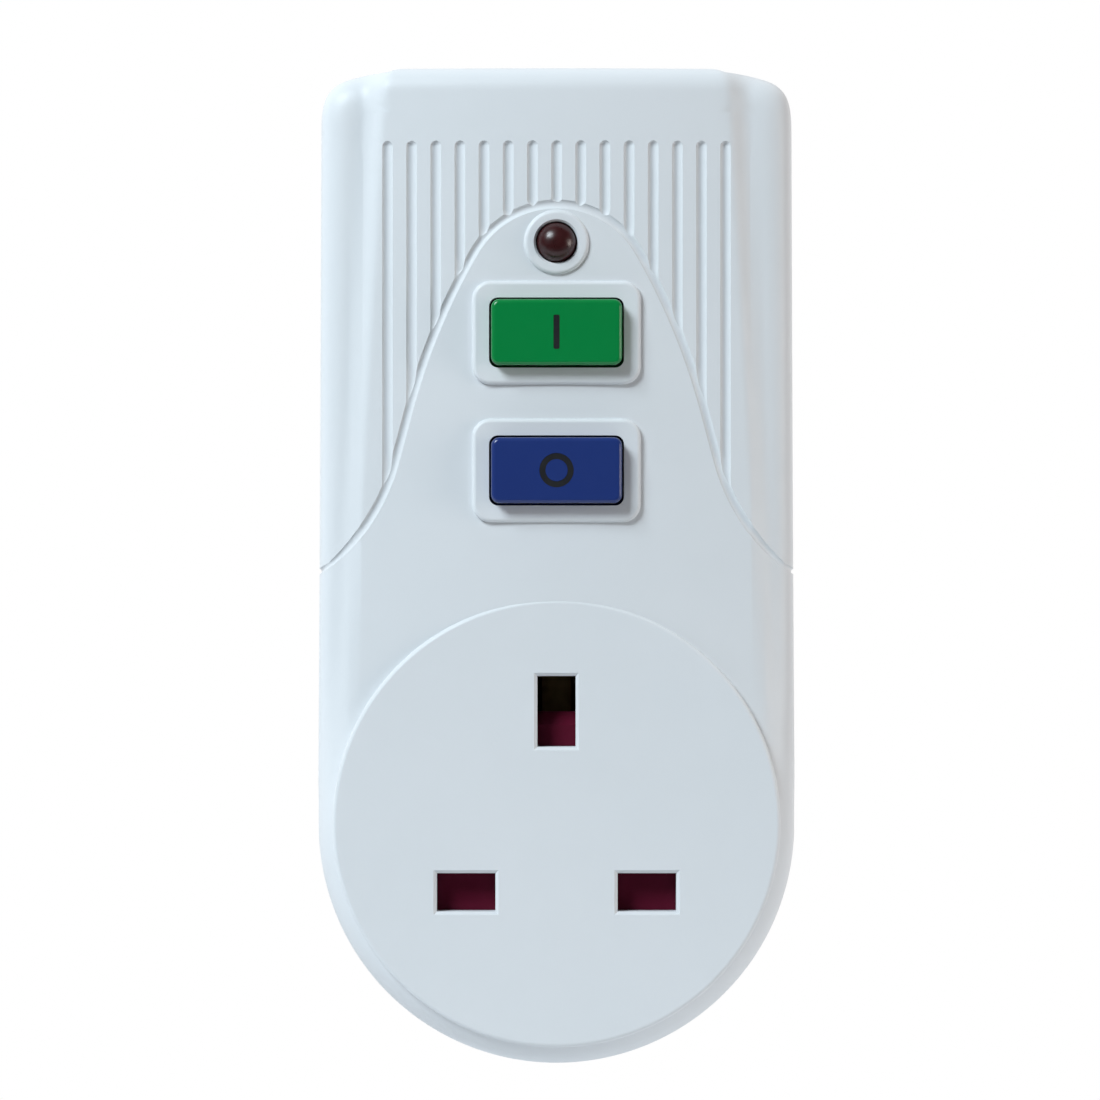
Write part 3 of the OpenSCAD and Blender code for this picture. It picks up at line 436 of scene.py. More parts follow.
def add_node(
    tree: Any, kind: str, settings: dict | None = None, links: dict | None = None
) -> bpy.types.Node:
    """Add a node with its settings and links.

    Args:
        tree: Node tree of a material or the world.
        kind: Blender's name for the node.
        settings: Values by socket name or number, or by the node's own property.
        links: Output sockets by the name or number of the input they feed.

    Returns:
        The new node.
    """
    node = tree.nodes.new(kind)
    for key, value in (settings or {}).items():
        if isinstance(key, str) and hasattr(node, key):
            setattr(node, key, value)
        else:
            node.inputs[key].default_value = value
    for key, source in (links or {}).items():
        tree.links.new(source, node.inputs[key])
    return node


def per_metre(size: float) -> float:
    """Scale of a pattern on Object coordinates whose features have a size in millimetres."""
    return 1 / (size * MM)


@dataclass(frozen=True)
class Finish:
    """Surface of one kind of piece.

    A slow drift tints the colour, a patchy layer varies the gloss, and a fine grain lifts the surface. The
    grain is drawn coarser than the real one, so that it shows.
    """

    name: str
    colour: str
    drift_colour: str
    roughness: Span
    drift: float = 18.0
    patch: float = 2.5
    grain: float = 0.3
    grain_lift: float = 0.01
    stretch: Triple = (1, 1, 1)
    metallic: float = 0.0
    ior: float = 1.5
    coat: float = 0.0
    coat_roughness: float = 0.08
    transmission: float = 0.0
    patch_ends: Span = (0.3, 0.7)

    def material(self) -> bpy.types.Material:
        """Make the finish as a node material.

        Returns:
            The material.
        """
        made = bpy.data.materials.new(self.name)
        made.use_nodes = True
        tree = made.node_tree
        tree.nodes.clear()
        where = add_node(tree, "ShaderNodeTexCoord")
        laid = add_node(
            tree, "ShaderNodeMapping", {"Scale": self.stretch}, {"Vector": where.outputs["Object"]}
        )
        drift, patch, grain = (
            add_node(
                tree,
                "ShaderNodeTexNoise",
                {"Scale": per_metre(size), "Detail": detail},
                {"Vector": laid.outputs["Vector"]},
            ).outputs["Fac"]
            for size, detail in ((self.drift, 2.0), (self.patch, 3.0), (self.grain, 2.0))
        )
        tint = add_node(
            tree,
            "ShaderNodeMix",
            {"data_type": "RGBA", 6: linear(self.colour), 7: linear(self.drift_colour)},
            {0: drift},
        )
        smooth, rough = self.roughness
        start, end = self.patch_ends
        gloss = add_node(
            tree,
            "ShaderNodeMapRange",
            {"From Min": start, "From Max": end, "To Min": smooth, "To Max": rough},
            {"Value": patch},
        )
        lift = add_node(
            tree, "ShaderNodeBump", {"Strength": 1.0, "Distance": self.grain_lift * MM}, {"Height": grain}
        )
        settings = {
            "Metallic": self.metallic,
            "Coat Weight": self.coat,
            "Coat Roughness": self.coat_roughness,
            "Transmission Weight": self.transmission,
        }
        if not self.metallic:
            settings["IOR"] = self.ior
        shader = add_node(
            tree,
            "ShaderNodeBsdfPrincipled",
            settings,
            {
                "Base Color": tint.outputs[2],
                "Roughness": gloss.outputs["Result"],
                "Normal": lift.outputs["Normal"],
            },
        )
        add_node(tree, "ShaderNodeOutputMaterial", {}, {"Surface": shader.outputs["BSDF"]})
        return made


# Moulded ABS with a spark-eroded satin skin: cool white, soft highlights, a barely visible grain
CASE_ABS = Finish("cool_white_moulded_abs", "#dadde1", "#d6dade", (0.42, 0.52), ior=1.47,
                  grain=0.35, grain_lift=0.006)
# Moulded ABS, polished tool: deep colour with a clear, slightly patchy gloss
GREEN_ABS = Finish("green_moulded_abs", "#037a3a", "#047d3d", (0.2, 0.26), ior=1.46, grain_lift=0.002)
NAVY_ABS = Finish("navy_moulded_abs", "#1f326e", "#213674", (0.2, 0.26), ior=1.46, grain_lift=0.002)
# Moulded nylon, unpolished tool: dull dark red with a dry surface
SHUTTER_NYLON = Finish("maroon_moulded_nylon", "#560d25", "#4f0c22", (0.45, 0.6), ior=1.2, grain=0.4)
# Polished acrylic tinted dark red: clear reflections over a dark body
LENS_ACRYLIC = Finish("dark_red_polished_acrylic", "#46191b", "#2a0d0e", (0.26, 0.34), ior=1.49,
                      drift=1.0, patch=0.8, grain=0.6, grain_lift=0.02, transmission=0.2)
# Moulded nylon for sleeves and small housings: near black with a dry sheen
BLACK_NYLON = Finish("black_moulded_nylon", "#1a1a1b", "#151516", (0.42, 0.55), grain=0.35, grain_lift=0.008)
# Natural nylon: milky, slightly yellow and dull
IVORY_NYLON = Finish("natural_moulded_nylon", "#e3dbc4", "#dbd2b8", (0.42, 0.55), grain=0.4, grain_lift=0.008)
# Glass-filled polyester: dark grey with a speckled, dry skin
GREY_POLYESTER = Finish("grey_filled_polyester", "#5f6164", "#55575a", (0.5, 0.65), grain=0.5,
                        grain_lift=0.02)
# Epoxy dip coat: rounded gloss blue
BLUE_EPOXY = Finish("blue_dipped_epoxy", "#27438f", "#223c82", (0.15, 0.25), coat=0.4)
# Machined brass: warm yellow with fine draw marks along the pin
PIN_BRASS = Finish("machined_brass", "#c9a35a", "#bd964c", (0.2, 0.34), drift=9, patch=1.2, grain=0.25,
                   grain_lift=0.003, stretch=(1, 0.12, 1), metallic=1)
# Phosphor bronze strip, darkened below bare bronze as painted shade for the inside of the apertures, with
# draw marks along the strip
SHADE_DARKENED_BRONZE = Finish("shade_darkened_phosphor_bronze", "#97805a", "#7c6844", (0.3, 0.5), drift=4, patch=1.0,
                     grain=0.25, grain_lift=0.004, stretch=(1, 0.12, 1), metallic=1)
# Zinc plated steel: pale grey, faintly blue and slightly cloudy
ZINC_STEEL = Finish("zinc_plated_steel", "#b9bdc3", "#a9afb6", (0.25, 0.4), drift=3, patch=0.8, metallic=1)
# Silver contact rivet: bright with a slight yellow tarnish
CONTACT_SILVER = Finish("pressed_contact_silver", "#dedad0", "#cfc8b8", (0.2, 0.35), drift=1.5, metallic=1)
# Enamelled copper wire: warm red brown under a clear varnish
ENAMEL_COPPER = Finish("enamelled_copper_wire", "#b0623a", "#9c5230", (0.22, 0.32), drift=2, grain=0.25,
                       grain_lift=0.06, stretch=(0.05, 1, 0.05), metallic=1, coat=0.3)
# Sintered ferrite: charcoal and matt with a fine tooth
FERRITE = Finish("sintered_ferrite", "#3a3a3c", "#323234", (0.6, 0.75), grain_lift=0.02)
# Glass epoxy laminate under green solder resist: smooth with the weave just showing
BOARD_EPOXY = Finish("green_resist_laminate", "#1f6a45", "#1b5f3d", (0.25, 0.38), grain=0.6, grain_lift=0.012)
# Lacquered resistor body: tan and smooth
TAN_LACQUER = Finish("tan_lacquer", "#c8a981", "#bd9d74", (0.3, 0.42))
# Screen print: flat black, slightly raised gloss
PRINT_INK = Finish("black_print_ink", "#15161a", "#121317", (0.4, 0.5), grain=0.2, grain_lift=0.004)
# Painted studio floor: even pale grey
FLOOR_PAINT = Finish("pale_floor_paint", "#e6e8ea", "#e3e5e8", (0.6, 0.7), drift=300)

SLOT_FINISH = {
    "white_case": CASE_ABS,
    "green_plastic": GREEN_ABS,
    "navy_plastic": NAVY_ABS,
    "maroon_plastic": SHUTTER_NYLON,
    "red_lens": LENS_ACRYLIC,
    "black_plastic": BLACK_NYLON,
    "ivory_plastic": IVORY_NYLON,
    "grey_plastic": GREY_POLYESTER,
    "blue_plastic": BLUE_EPOXY,
    "brass": PIN_BRASS,
    "steel": ZINC_STEEL,
    "contact_silver": CONTACT_SILVER,
    "copper": ENAMEL_COPPER,
    "ferrite": FERRITE,
    "board": BOARD_EPOXY,
    "tan_coat": TAN_LACQUER,
}

# Nodes whose finish differs from their slot's own: the socket contacts take a darkened bronze, painted shade
# for the inside of the apertures
NODE_FINISH = {node: SHADE_DARKENED_BRONZE for node in ("earth_contact", "live_contact", "neutral_contact")}


@cache
def material_of(finish: Finish) -> bpy.types.Material:
    """Material of a finish, made once."""
    return finish.material()


def fit(
    piece: Piece, body: str, slot: str, *nodes: str, finish: Finish | None = None, smooth: float = 32.0
) -> Piece:
    """Shade and dress a finished piece, hang it on its body and let it stand for its CAD nodes.

    Args:
        piece: Piece whose mesh is final.
        body: CAD body that it moves with.
        slot: Material slot of the record.
        nodes: CAD nodes that it stands for.
        finish: Finish where it differs from the slot's own.
        smooth: Sharpest edge, in degrees, that still runs smooth.

    Returns:
        The same piece.
    """
    settle(piece, smooth)
    piece.data.materials.clear()
    piece.data.materials.append(material_of(finish or SLOT_FINISH[slot]))
    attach(piece, body)
    if nodes:
        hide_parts(*nodes)
    LOG.info("%s: %d faces, rides on %s", piece.name, len(piece.data.polygons), body)
    return piece


def spread_out(start: float, end: float, steps: int) -> list[float]:
    """Evenly spaced values from a start to an end."""
    return [start + (end - start) * i / steps for i in range(steps + 1)]


def blended(first: float, second: float, reach: float) -> float:
    """Greater of two values, with the corner between them rounded over a reach."""
    overlap = max(0.0, reach - abs(first - second)) / reach
    return max(first, second) + overlap**2 * reach / 4


def arc(hub: Span, radius: float, start: float, end: float, steps: int) -> list[Span]:
    """Points of an arc, seen from the front.

    Args:
        hub: Place of its centre to the right and upwards.
        radius: Radius, below zero for the far side of the hub.
        start: First angle, in radians up from the right.
        end: Last angle.
        steps: Number of chords.

    Returns:
        Places to the right and upwards.
    """
    x, z = hub
    return [(x + radius * math.cos(a), z + radius * math.sin(a)) for a in spread_out(start, end, steps)]


def bead(name: str, points: list[Vector], radii: list[float], sides: int = 20) -> Piece:
    """Round bead along a line of points, with ball ends.

    Args:
        name: Name of the piece.
        points: Places in metres.
        radii: Radius of the bead at each place.
        sides: Number of sides.

    Returns:
        The closed solid.
    """
    runs = [(b - a).normalized() for a, b in zip(points, points[1:])]
    ahead = [runs[0]] + [(a + b).normalized() for a, b in zip(runs, runs[1:])] + [runs[-1]]
    ball = [(math.sin(math.radians(a)), math.cos(math.radians(a))) for a in (75, 60, 45, 30, 15)]
    start = runs[0] * radii[0] * MM
    end = runs[-1] * radii[-1] * MM
    rings = [(points[0] - start * out, runs[0], radii[0] * share) for out, share in ball]
    rings += list(zip(points, ahead, radii))
    rings += [(points[-1] + end * out, runs[-1], radii[-1] * share) for out, share in reversed(ball)]
    mesh = bmesh.new()
    loops = []
    side = runs[0].orthogonal()
    for centre, along, radius in rings:
        side = (side - along * side.dot(along)).normalized()
        up = side.cross(along)
        loops.append([
            mesh.verts.new(centre + (side * math.cos(a) + up * math.sin(a)) * radius * MM)
            for a in spread_out(0, math.tau, sides)[:-1]
        ])
    for first, second in zip(loops, loops[1:]):
        for i in range(sides):
            j = (i + 1) % sides
            mesh.faces.new((first[i], first[j], second[j], second[i]))
    mesh.faces.new(reversed(loops[0]))
    mesh.faces.new(loops[-1])
    bmesh.ops.recalc_face_normals(mesh, faces=mesh.faces)
    made = bpy.data.meshes.new(name)
    mesh.to_mesh(made)
    mesh.free()
    return linked(name, made)


@dataclass
class CaseOutline:
    """Outline of the case, seen from the front: a round lower end, leaning sides and soft top corners."""

    end_radius: float = 29.46
    end_z: float = -0.48
    top: float = 92.9
    top_flat: float = 18.7
    ridge_foot: Span = (20.8, 92.42)
    side_end: Span = (29.13, 85.8)
    corner_side: Span = (29.1, 91.0)
    corner_top: Span = (27.4, 92.05)
    spine_top: float = 63.7
    parting: float = 17.0
    shoulder_depth: float = 40.4
    roll: float = 4.5
    roll_width: float = 5.2
    roll_power: float = 3.0
    seam_radius: float = 0.25
    end_steps: int = 60
    side_steps: int = 86
    corner_steps: int = 32
    ridge_steps: int = 8
    top_steps: int = 36

    def half_width(self, z: float) -> float:
        """Half width of the leaning sides at a height."""
        share = (z - self.end_z) / (self.side_end[1] - self.end_z)
        return self.end_radius + (self.side_end[0] - self.end_radius) * share

    def right_half(self) -> list[Span]:
        """Lay out the right half of the outline.

        Returns:
            Places to the right and upwards, from the lowest point to the middle of the top.
        """
        lower_end = arc((0, self.end_z), self.end_radius, -SQUARE, 0, self.end_steps)
        heights = spread_out(self.end_z, self.side_end[1], self.side_steps)
        side = [(self.half_width(z), z) for z in heights]
        pull = (self.side_end, self.corner_side, self.corner_top, self.ridge_foot)
        corner = []
        for t in spread_out(0, 1, self.corner_steps):
            weights = ((1 - t) ** 3, 3 * t * (1 - t) ** 2, 3 * t**2 * (1 - t), t**3)
            corner.append(tuple(sum(w * point[i] for w, point in zip(weights, pull)) for i in (0, 1)))
        foot_x, foot_z = self.ridge_foot
        ridge = [
            (foot_x + (self.top_flat - foot_x) * s, foot_z + (self.top - foot_z) * math.sin(SQUARE * s))
            for s in spread_out(0, 1, self.ridge_steps)
        ]
        top = [(x, self.top) for x in spread_out(self.top_flat, 0, self.top_steps)]
        return lower_end + side[1:] + corner[1:] + ridge[1:] + top[1:]

    def spine(self, z: float) -> float:
        """Height at which the middle line is nearest to a height."""
        return min(max(z, self.end_z), self.spine_top)

    def course(self, inset: float = 0.0) -> list[Span]:
        """Lay out the whole outline, drawn in towards its middle line.

        Args:
            inset: Distance inwards, measured square to the outline.

        Returns:
            Places to the right and upwards, anticlockwise from the lowest point.
        """
        half = self.right_half()
        whole = half + [(-x, z) for x, z in reversed(half[1:-1])]
        drawn = []
        for i, (x, z) in enumerate(whole):
            before = whole[i - 1]
            after = whole[(i + 1) % len(whole)]
            run = Vector((after[0] - before[0], after[1] - before[1])).normalized()
            inwards = Vector((-x, self.spine(z) - z)).normalized()
            step = inwards * inset / Vector((-run.y, run.x)).dot(inwards)
            drawn.append((x + step.x, z + step.y))
        return drawn

    def rolled(self, turn: float) -> float:
        """Distance inside the outline at an angle round the rolled edge, from the side to the front."""
        return self.roll_width * (1 - math.cos(turn) ** (2 / self.roll_power))

    def kept(self, inset: float) -> float:
        """Share of the rolled edge's height that is left at a distance inside the outline."""
        turn = 1 - min(1.0, inset / self.roll_width)
        return (1 - turn**self.roll_power) ** (1 / self.roll_power)

    def solid(self, name: str, depth: Span, inset: float = 0.0) -> Piece:
        """Carry the outline along the depth.

        Args:
            name: Name of the piece.
            depth: Rear and front faces.
            inset: Distance by which the outline is drawn in.

        Returns:
            The solid, with square edges.
        """
        course = self.course(inset)
        bpy.ops.mesh.primitive_circle_add(vertices=len(course), radius=MM)
        piece = taken_up(name)
        for vertex, (x, z) in zip(piece.data.vertices, course):
            vertex.co = place(x, depth[1], z)
        with shaping(piece):
            bpy.ops.mesh.edge_face_add()
            carry(depth[0] - depth[1])
            face_outwards()
        return piece


@dataclass
class CoverForm:
    """Outer form of the front cover: rolled shoulders, a raised crowned band and an apron round the disc."""

    outline: CaseOutline
    # Raised band: crowned front, leaning sides, rounded top corners, and a foot that fades out
    crown_depth: float = 42.9
    crown_radius: float = 220.0
    band_half_top: float = 21.3
    band_taper: float = 3.2
    band_slope: float = 44.0
    band_corner: Span = (1.6, 4.5)
    band_roll: float = 2.8
    band_edge: float = 0.6
    band_foot: float = 1.2
    band_fade: Span = (6.0, 9.0)
    # Apron that sinks away from the round socket face
    disc_radius: float = 27.5
    apron_step: float = 0.5
    apron_fall: float = 0.35
    apron_lean: float = 0.08
    apron_blend: float = 1.6
    # Straight wall behind the rolled edge, and rings of the mesh
    wall_front: float = 30.0
    roll_steps: int = 16
    skin_steps: int = 84

    def crown_at(self, x: float) -> float:
        """Depth of the crowned front at a distance from the centre line."""
        return self.crown_depth - self.crown_radius + math.sqrt(self.crown_radius**2 - x**2)

    def band_half(self, z: float) -> float:
        """Half width of the band's front, with its top corners rounded off.

        Args:
            z: Place upwards.

        Returns:
            Half width.
        """
        width, height = self.band_corner
        into = max(0.0, 1 - (self.outline.top - z) / height)
        spread = (self.outline.top - z) * math.tan(math.radians(self.band_taper))
        return self.band_half_top + spread - width * (1 - math.sqrt(max(0.0, 1 - into**2)))

    def band_depth(self, x: float, z: float) -> float:
        """Depth of the band's own form: crowned front, sloping sides, rolled top edge and a fading foot.

        Args:
            x: Place to the right.
            z: Place upwards.

        Returns:
            Depth, which runs on down beside the band.
        """
        half = self.band_half(z)
        side = self.crown_at(half) - (abs(x) - half) / math.tan(math.radians(self.band_slope))
        front = -blended(-self.crown_at(x), -side, self.band_edge)
        into = min(1.0, max(0.0, 1 - (self.outline.top - z) / self.band_roll))
        drop = self.band_roll * (1 - math.sqrt(1 - into**2))
        start, run = self.band_fade
        fade = max(0.0, start - z) ** 2 / run
        return front - drop - fade

    def on_skin(self, x: float, z: float, inset: float) -> Vector:
        """Point of the cover's outer form.

        Args:
            x: Place to the right.
            z: Place upwards.
            inset: Distance inside the outline.

        Returns:
            Point in metres.
        """
        line = self.outline
        low = line.shoulder_depth - line.roll
        beyond = max(0.0, math.hypot(x, z) - self.disc_radius)
        sink = self.apron_fall * beyond + self.apron_lean * max(0.0, z)
        apron = SOCKET_DEPTH - self.apron_step - sink
        level = blended(line.shoulder_depth, apron, self.apron_blend)
        shoulder = low + (level - low) * line.kept(inset)
        return place(x, blended(shoulder, self.band_depth(x, z), self.band_foot), z)

    def skin_rings(self) -> list[list[Vector]]:
        """Lay out the outer form in rings, from the seam over the rolled edge to the middle line.

        Returns:
            Points in metres, ring by ring.
        """
        line = self.outline
        rim = line.course()
        rings = [
            [place(x, line.parting, z) for x, z in line.course(line.seam_radius)],
            [place(x, line.parting + line.seam_radius, z) for x, z in rim],
            [place(x, self.wall_front, z) for x, z in rim],
        ]
        for turn in spread_out(0, SQUARE, self.roll_steps):
            inset = line.rolled(turn)
            rings.append([self.on_skin(x, z, inset) for x, z in line.course(inset)])
        inner = line.course(line.roll_width)
        for share in spread_out(0, 1, self.skin_steps)[1:]:
            ring = []
            for x, z in inner:
                along = z + (line.spine(z) - z) * share
                ring.append(self.on_skin(x * (1 - share), along, line.roll_width))
            rings.append(ring)
        return rings

    def solid(self) -> Piece:
        """Make the outer form: a grid is wrapped round the rings and closed.

        Returns:
            The solid.
        """
        rings = self.skin_rings()
        around = len(rings[0])
        steps = len(rings) - 1
        bpy.ops.mesh.primitive_grid_add(x_subdivisions=around, y_subdivisions=steps, size=2)
        piece = taken_up("front_cover_shell")
        for vertex in piece.data.vertices:
            column = round((vertex.co.x + 1) / 2 * around)
            row = round((vertex.co.y + 1) / 2 * steps)
            vertex.co = rings[row][column % around]
        with shaping(piece):
            bpy.ops.mesh.remove_doubles(threshold=WELD * MM)
            bpy.ops.mesh.select_all(action="SELECT")
            bpy.ops.mesh.fill_holes(sides=0)
            face_outwards()
        return piece


@dataclass
class CoverGrooves:
    """Grooves in the front cover: upright ones that end at an arch, and the arch itself."""

    form: CoverForm
    # Upright grooves
    groove_count: int = 15
    groove_pitch: float = 2.97
    groove_top: float = 83.9
    groove_radius: float = 0.75
    groove_rise: float = 0.33
    groove_tip: float = 0.2
    # Section of the arch groove on the band, and of the line that it thins to
    arch_radius: float = 0.62
    arch_rise: float = 0.28
    line_radius: float = 0.38
    line_rise: float = 0.16
    line_run: float = 2.5
    line_turn: float = 1.6
    line_fall: float = 1.2
    # Course of the arch: crown, sides, straight legs and flared feet
    arch_crown: float = 11.7
    arch_crown_z: float = 64.3
    arch_side: float = 80.0
    arch_leg: float = 6.6
    arch_flare: float = 25.0
    arch_turn: float = 60.0
    arch_lean: float = 75.0
    arch_end: float = 33.0
    arch_low_depth: float = 20.5
    arch_steps: int = 20
    flare_steps: int = 48
    turn_steps: int = 8
    probe_start: float = 5.0

    def course(self) -> list[Span]:
        """Course of the arch groove from its apex down to the right.

        Returns:
            Places to the right and upwards.
        """
        lean = math.radians(90 - self.arch_turn)
        tilt = math.radians(90 - self.arch_lean)
        end = math.radians(90 - self.arch_end)
        crown = arc((0, self.arch_crown_z), self.arch_crown, SQUARE, lean, self.arch_steps)
        knee_x, knee_z = crown[-1]
        hub = (knee_x - self.arch_side * math.cos(lean), knee_z - self.arch_side * math.sin(lean))
        side = arc(hub, self.arch_side, lean, tilt, self.arch_steps)
        foot_x = side[-1][0] + self.arch_leg * math.sin(tilt)
        foot_z = side[-1][1] - self.arch_leg * math.cos(tilt)
        hub = (foot_x + self.arch_flare * math.cos(tilt), foot_z + self.arch_flare * math.sin(tilt))
        return crown + side[1:] + arc(hub, -self.arch_flare, tilt, end, self.flare_steps)

    def arch(self, body: Piece) -> Piece:
        """Make the cutter for the arch groove, a round bead laid along the body's surface.

        It thins to a line beyond the band, and runs back along the side of the case.

        Args:
            body: Body on whose surface it lies.

        Returns:
            The solid.
        """
        line = self.form.outline
        points = []
        radii = []
        for x, z in self.course():
            if x > line.half_width(z) - self.line_turn:
                break
            probe = place(x, SOCKET_DEPTH + self.probe_start, z)
            _, spot, normal, _ = body.ray_cast(probe, Vector((0, 1, 0)))
            share = min(1.0, max(0.0, (x - self.form.band_half(z)) / self.line_run))
            rise = self.arch_rise + (self.line_rise - self.arch_rise) * share
            points.append(spot + normal * rise * MM)
            radii.append(self.arch_radius + (self.line_radius - self.arch_radius) * share)
        last = sizes_of(points[-1])
        side = line.half_width(last.z) + self.line_rise
        low = line.shoulder_depth - line.roll
        for turn in spread_out(0, SQUARE, self.turn_steps)[1:]:
            x = last.x + (side - last.x) * math.sin(turn)
            depth = low + (last.y - low) * math.cos(turn)
            points.append(place(x, depth, last.z - self.line_fall * math.sin(turn)))
            radii.append(self.line_radius)
        for depth in spread_out(low, self.arch_low_depth, self.turn_steps)[1:]:
            points.append(place(side, depth, last.z - self.line_fall))
            radii.append(self.line_radius)
        mirrored = [Vector((-p.x, p.y, p.z)) for p in reversed(points[1:])]
        return bead("arch_groove", mirrored + points, radii[:0:-1] + radii)

    def uprights(self) -> Piece:
        """Make the cutter for the upright grooves, round beads that thin to a tip along the arch.

        Returns:
            The solids in one mesh.
        """
        half = math.sqrt(self.groove_radius**2 - self.groove_rise**2)
        middle = (self.groove_count - 1) / 2
        beads = []
        for i in range(self.groove_count):
            x = (i - middle) * self.groove_pitch
            side = math.copysign(1, x)
            edge = abs(x) + half
            run = [(0.5 * (edge - px) / half, z) for px, z in self.course() if abs(px - abs(x)) < half]
            tip = [(share, z) for share, z in reversed(run) if share > self.groove_tip]
            if abs(x) < half:
                tip = tip[-1:]
            shares = [share for share, _ in tip] + [1.0, 1.0]
            heights = [z for _, z in tip] + [tip[-1][1] + half, self.groove_top - self.groove_radius]
            points = []
            for share, z in zip(shares, heights):
                across = edge - half * share
                points.append(place(side * across, self.form.crown_at(across) + self.groove_rise * share, z))
            beads.append(bead(f"groove_{i}", points, [self.groove_radius * share for share in shares]))
        return joined(beads)


@dataclass
class FrontCover:
    """Front shell: outer form with grooves, round socket face, button frames, lamp ring and openings."""

    form: CoverForm
    grooves: CoverGrooves
    # Round socket face
    disc_back: float = 36.2
    disc_edge: float = 0.55
    # Frames round the buttons, and their openings
    frame_width: float = 20.65
    frame_height: float = 12.7
    frame_corner: float = 2.2
    frame_depth: float = 43.5
    frame_edge: float = 0.5
    opening_width: float = 16.55
    opening_height: float = 8.6
    opening_corner: float = 1.1
    opening_back: float = 2.0
    reset_z: float = RESET_Z
    test_z: float = TEST_Z
    # Ring round the lamp, and its hole
    lamp_z: float = LAMP_Z
    lamp_ring: float = 4.0
    lamp_ring_depth: float = 43.4
    lamp_hole: float = 2.55
    lamp_chamfer: float = 0.25
    # Apertures for the pins
    slot_width: float = 7.2
    slot_thick: float = 4.7
    earth_length: float = 8.7
    pole_x: float = POLE_X
    pole_z: float = -8.46
    earth_z: float = 13.74
    slot_chamfer: float = 0.4
    slot_back: float = 3.0
    # Room inside
    wall: float = 0.6
    room_roll: float = 3.0
    room_depth: float = 40.8
    pocket_half: float = 20.2
    pocket_z: Span = (33.4, 84.6)
    disc_room: float = 26.2

    def socket_disc(self) -> Piece:
        """Make the round socket face with an eased rim."""
        piece = rod("socket_disc", self.form.disc_radius, (self.disc_back, SOCKET_DEPTH), 0, sides=192)
        return soften(piece, self.disc_edge, at_depth(SOCKET_DEPTH))

    def button_frame(self, z: float) -> Piece:
        """Make the raised frame round a push button.

        Args:
            z: Height of the button's middle.

        Returns:
            The solid.
        """
        depth = (self.room_depth, self.frame_depth)
        piece = round_plate("button_frame", self.frame_width, self.frame_height, self.frame_corner, depth, z)
        return soften(piece, self.frame_edge, at_depth(self.frame_depth))

    def lamp_collar(self) -> Piece:
        """Make the raised ring round the lamp.

        Returns:
            The solid.
        """
        depth = (self.room_depth, self.lamp_ring_depth)
        piece = rod("lamp_collar", self.lamp_ring, depth, self.lamp_z, sides=96)
        return soften(piece, self.frame_edge, at_depth(self.lamp_ring_depth))

    def lamp_opening(self) -> Piece:
        """Make the cutter for the lamp's hole with a chamfered mouth.

        Returns:
            The solid.
        """
        mouth = self.lamp_ring_depth - self.lamp_chamfer
        depth = (self.room_depth - self.opening_back, mouth)
        piece = rod("lamp_opening", self.lamp_hole, depth, self.lamp_z, sides=96)
        width = 2 * self.lamp_hole
        flare(piece, mouth, self.lamp_chamfer + PAST, width, width, 0, self.lamp_z)
        return piece

    def button_opening(self, z: float) -> Piece:
        """Make the cutter for a push button's opening.

        Args:
            z: Height of the button's middle.

        Returns:
            The solid.
        """
        depth = (self.room_depth - self.opening_back, self.frame_depth + PAST)
        return round_plate(
            "button_opening", self.opening_width, self.opening_height, self.opening_corner, depth, z
        )

    def pin_opening(self, width: float, height: float, x: float, z: float) -> Piece:
        """Make the cutter for a pin's aperture with a chamfered mouth.

        Args:
            width: Width of the aperture.
            height: Height of the aperture.
            x: Place of its middle to the right.
            z: Place of its middle upwards.

        Returns:
            The solid.
        """
        mouth = SOCKET_DEPTH - self.slot_chamfer
        across = (x - width / 2, x + width / 2)
        depth = (self.room_depth - self.slot_back, mouth)
        piece = block("pin_opening", across, depth, (z - height / 2, z + height / 2))
        flare(piece, mouth, self.slot_chamfer + PAST, width, height, x, z)
        return piece

    def room(self) -> Piece:
        """Make the room inside the cover, with the CAD cover's bosses, rails and lip left standing.

        Returns:
            The solid to cut out of the cover.
        """
        line = self.form.outline
        front = line.shoulder_depth - self.wall
        piece = line.solid("room", (line.parting - PAST, front), self.wall)
        soften(piece, self.room_roll, at_depth(front), segments=6)
        deeper = (line.shoulder_depth - line.roll, self.room_depth)
        work(piece, block("pocket", (-self.pocket_half, self.pocket_half), deeper, self.pocket_z), Join.ADD)
        work(piece, rod("disc_room", self.disc_room, deeper, 0, sides=128), Join.ADD)
        work(piece, welded_copy("front_cover", "cover_walls"), Join.CUT)
        return piece

    def build(self) -> Piece:
        """Make the cover.

        Returns:
            The finished piece.
        """
        piece = self.form.solid()
        work(piece, self.socket_disc(), Join.ADD)
        work(piece, self.grooves.arch(piece), Join.CUT)
        work(piece, self.grooves.uprights(), Join.CUT)
        for z in (self.reset_z, self.test_z):
            work(piece, self.button_frame(z), Join.ADD)
        work(piece, self.lamp_collar(), Join.ADD)
        for z in (self.reset_z, self.test_z):
            work(piece, self.button_opening(z), Join.CUT)
        work(piece, self.lamp_opening(), Join.CUT)
        for x in (-self.pole_x, self.pole_x):
            work(piece, self.pin_opening(self.slot_width, self.slot_thick, x, self.pole_z), Join.CUT)
        work(piece, self.pin_opening(self.slot_thick, self.earth_length, 0, self.earth_z), Join.CUT)
        work(piece, self.room(), Join.CUT)
        return fit(piece, "case", "white_case", "front_cover")


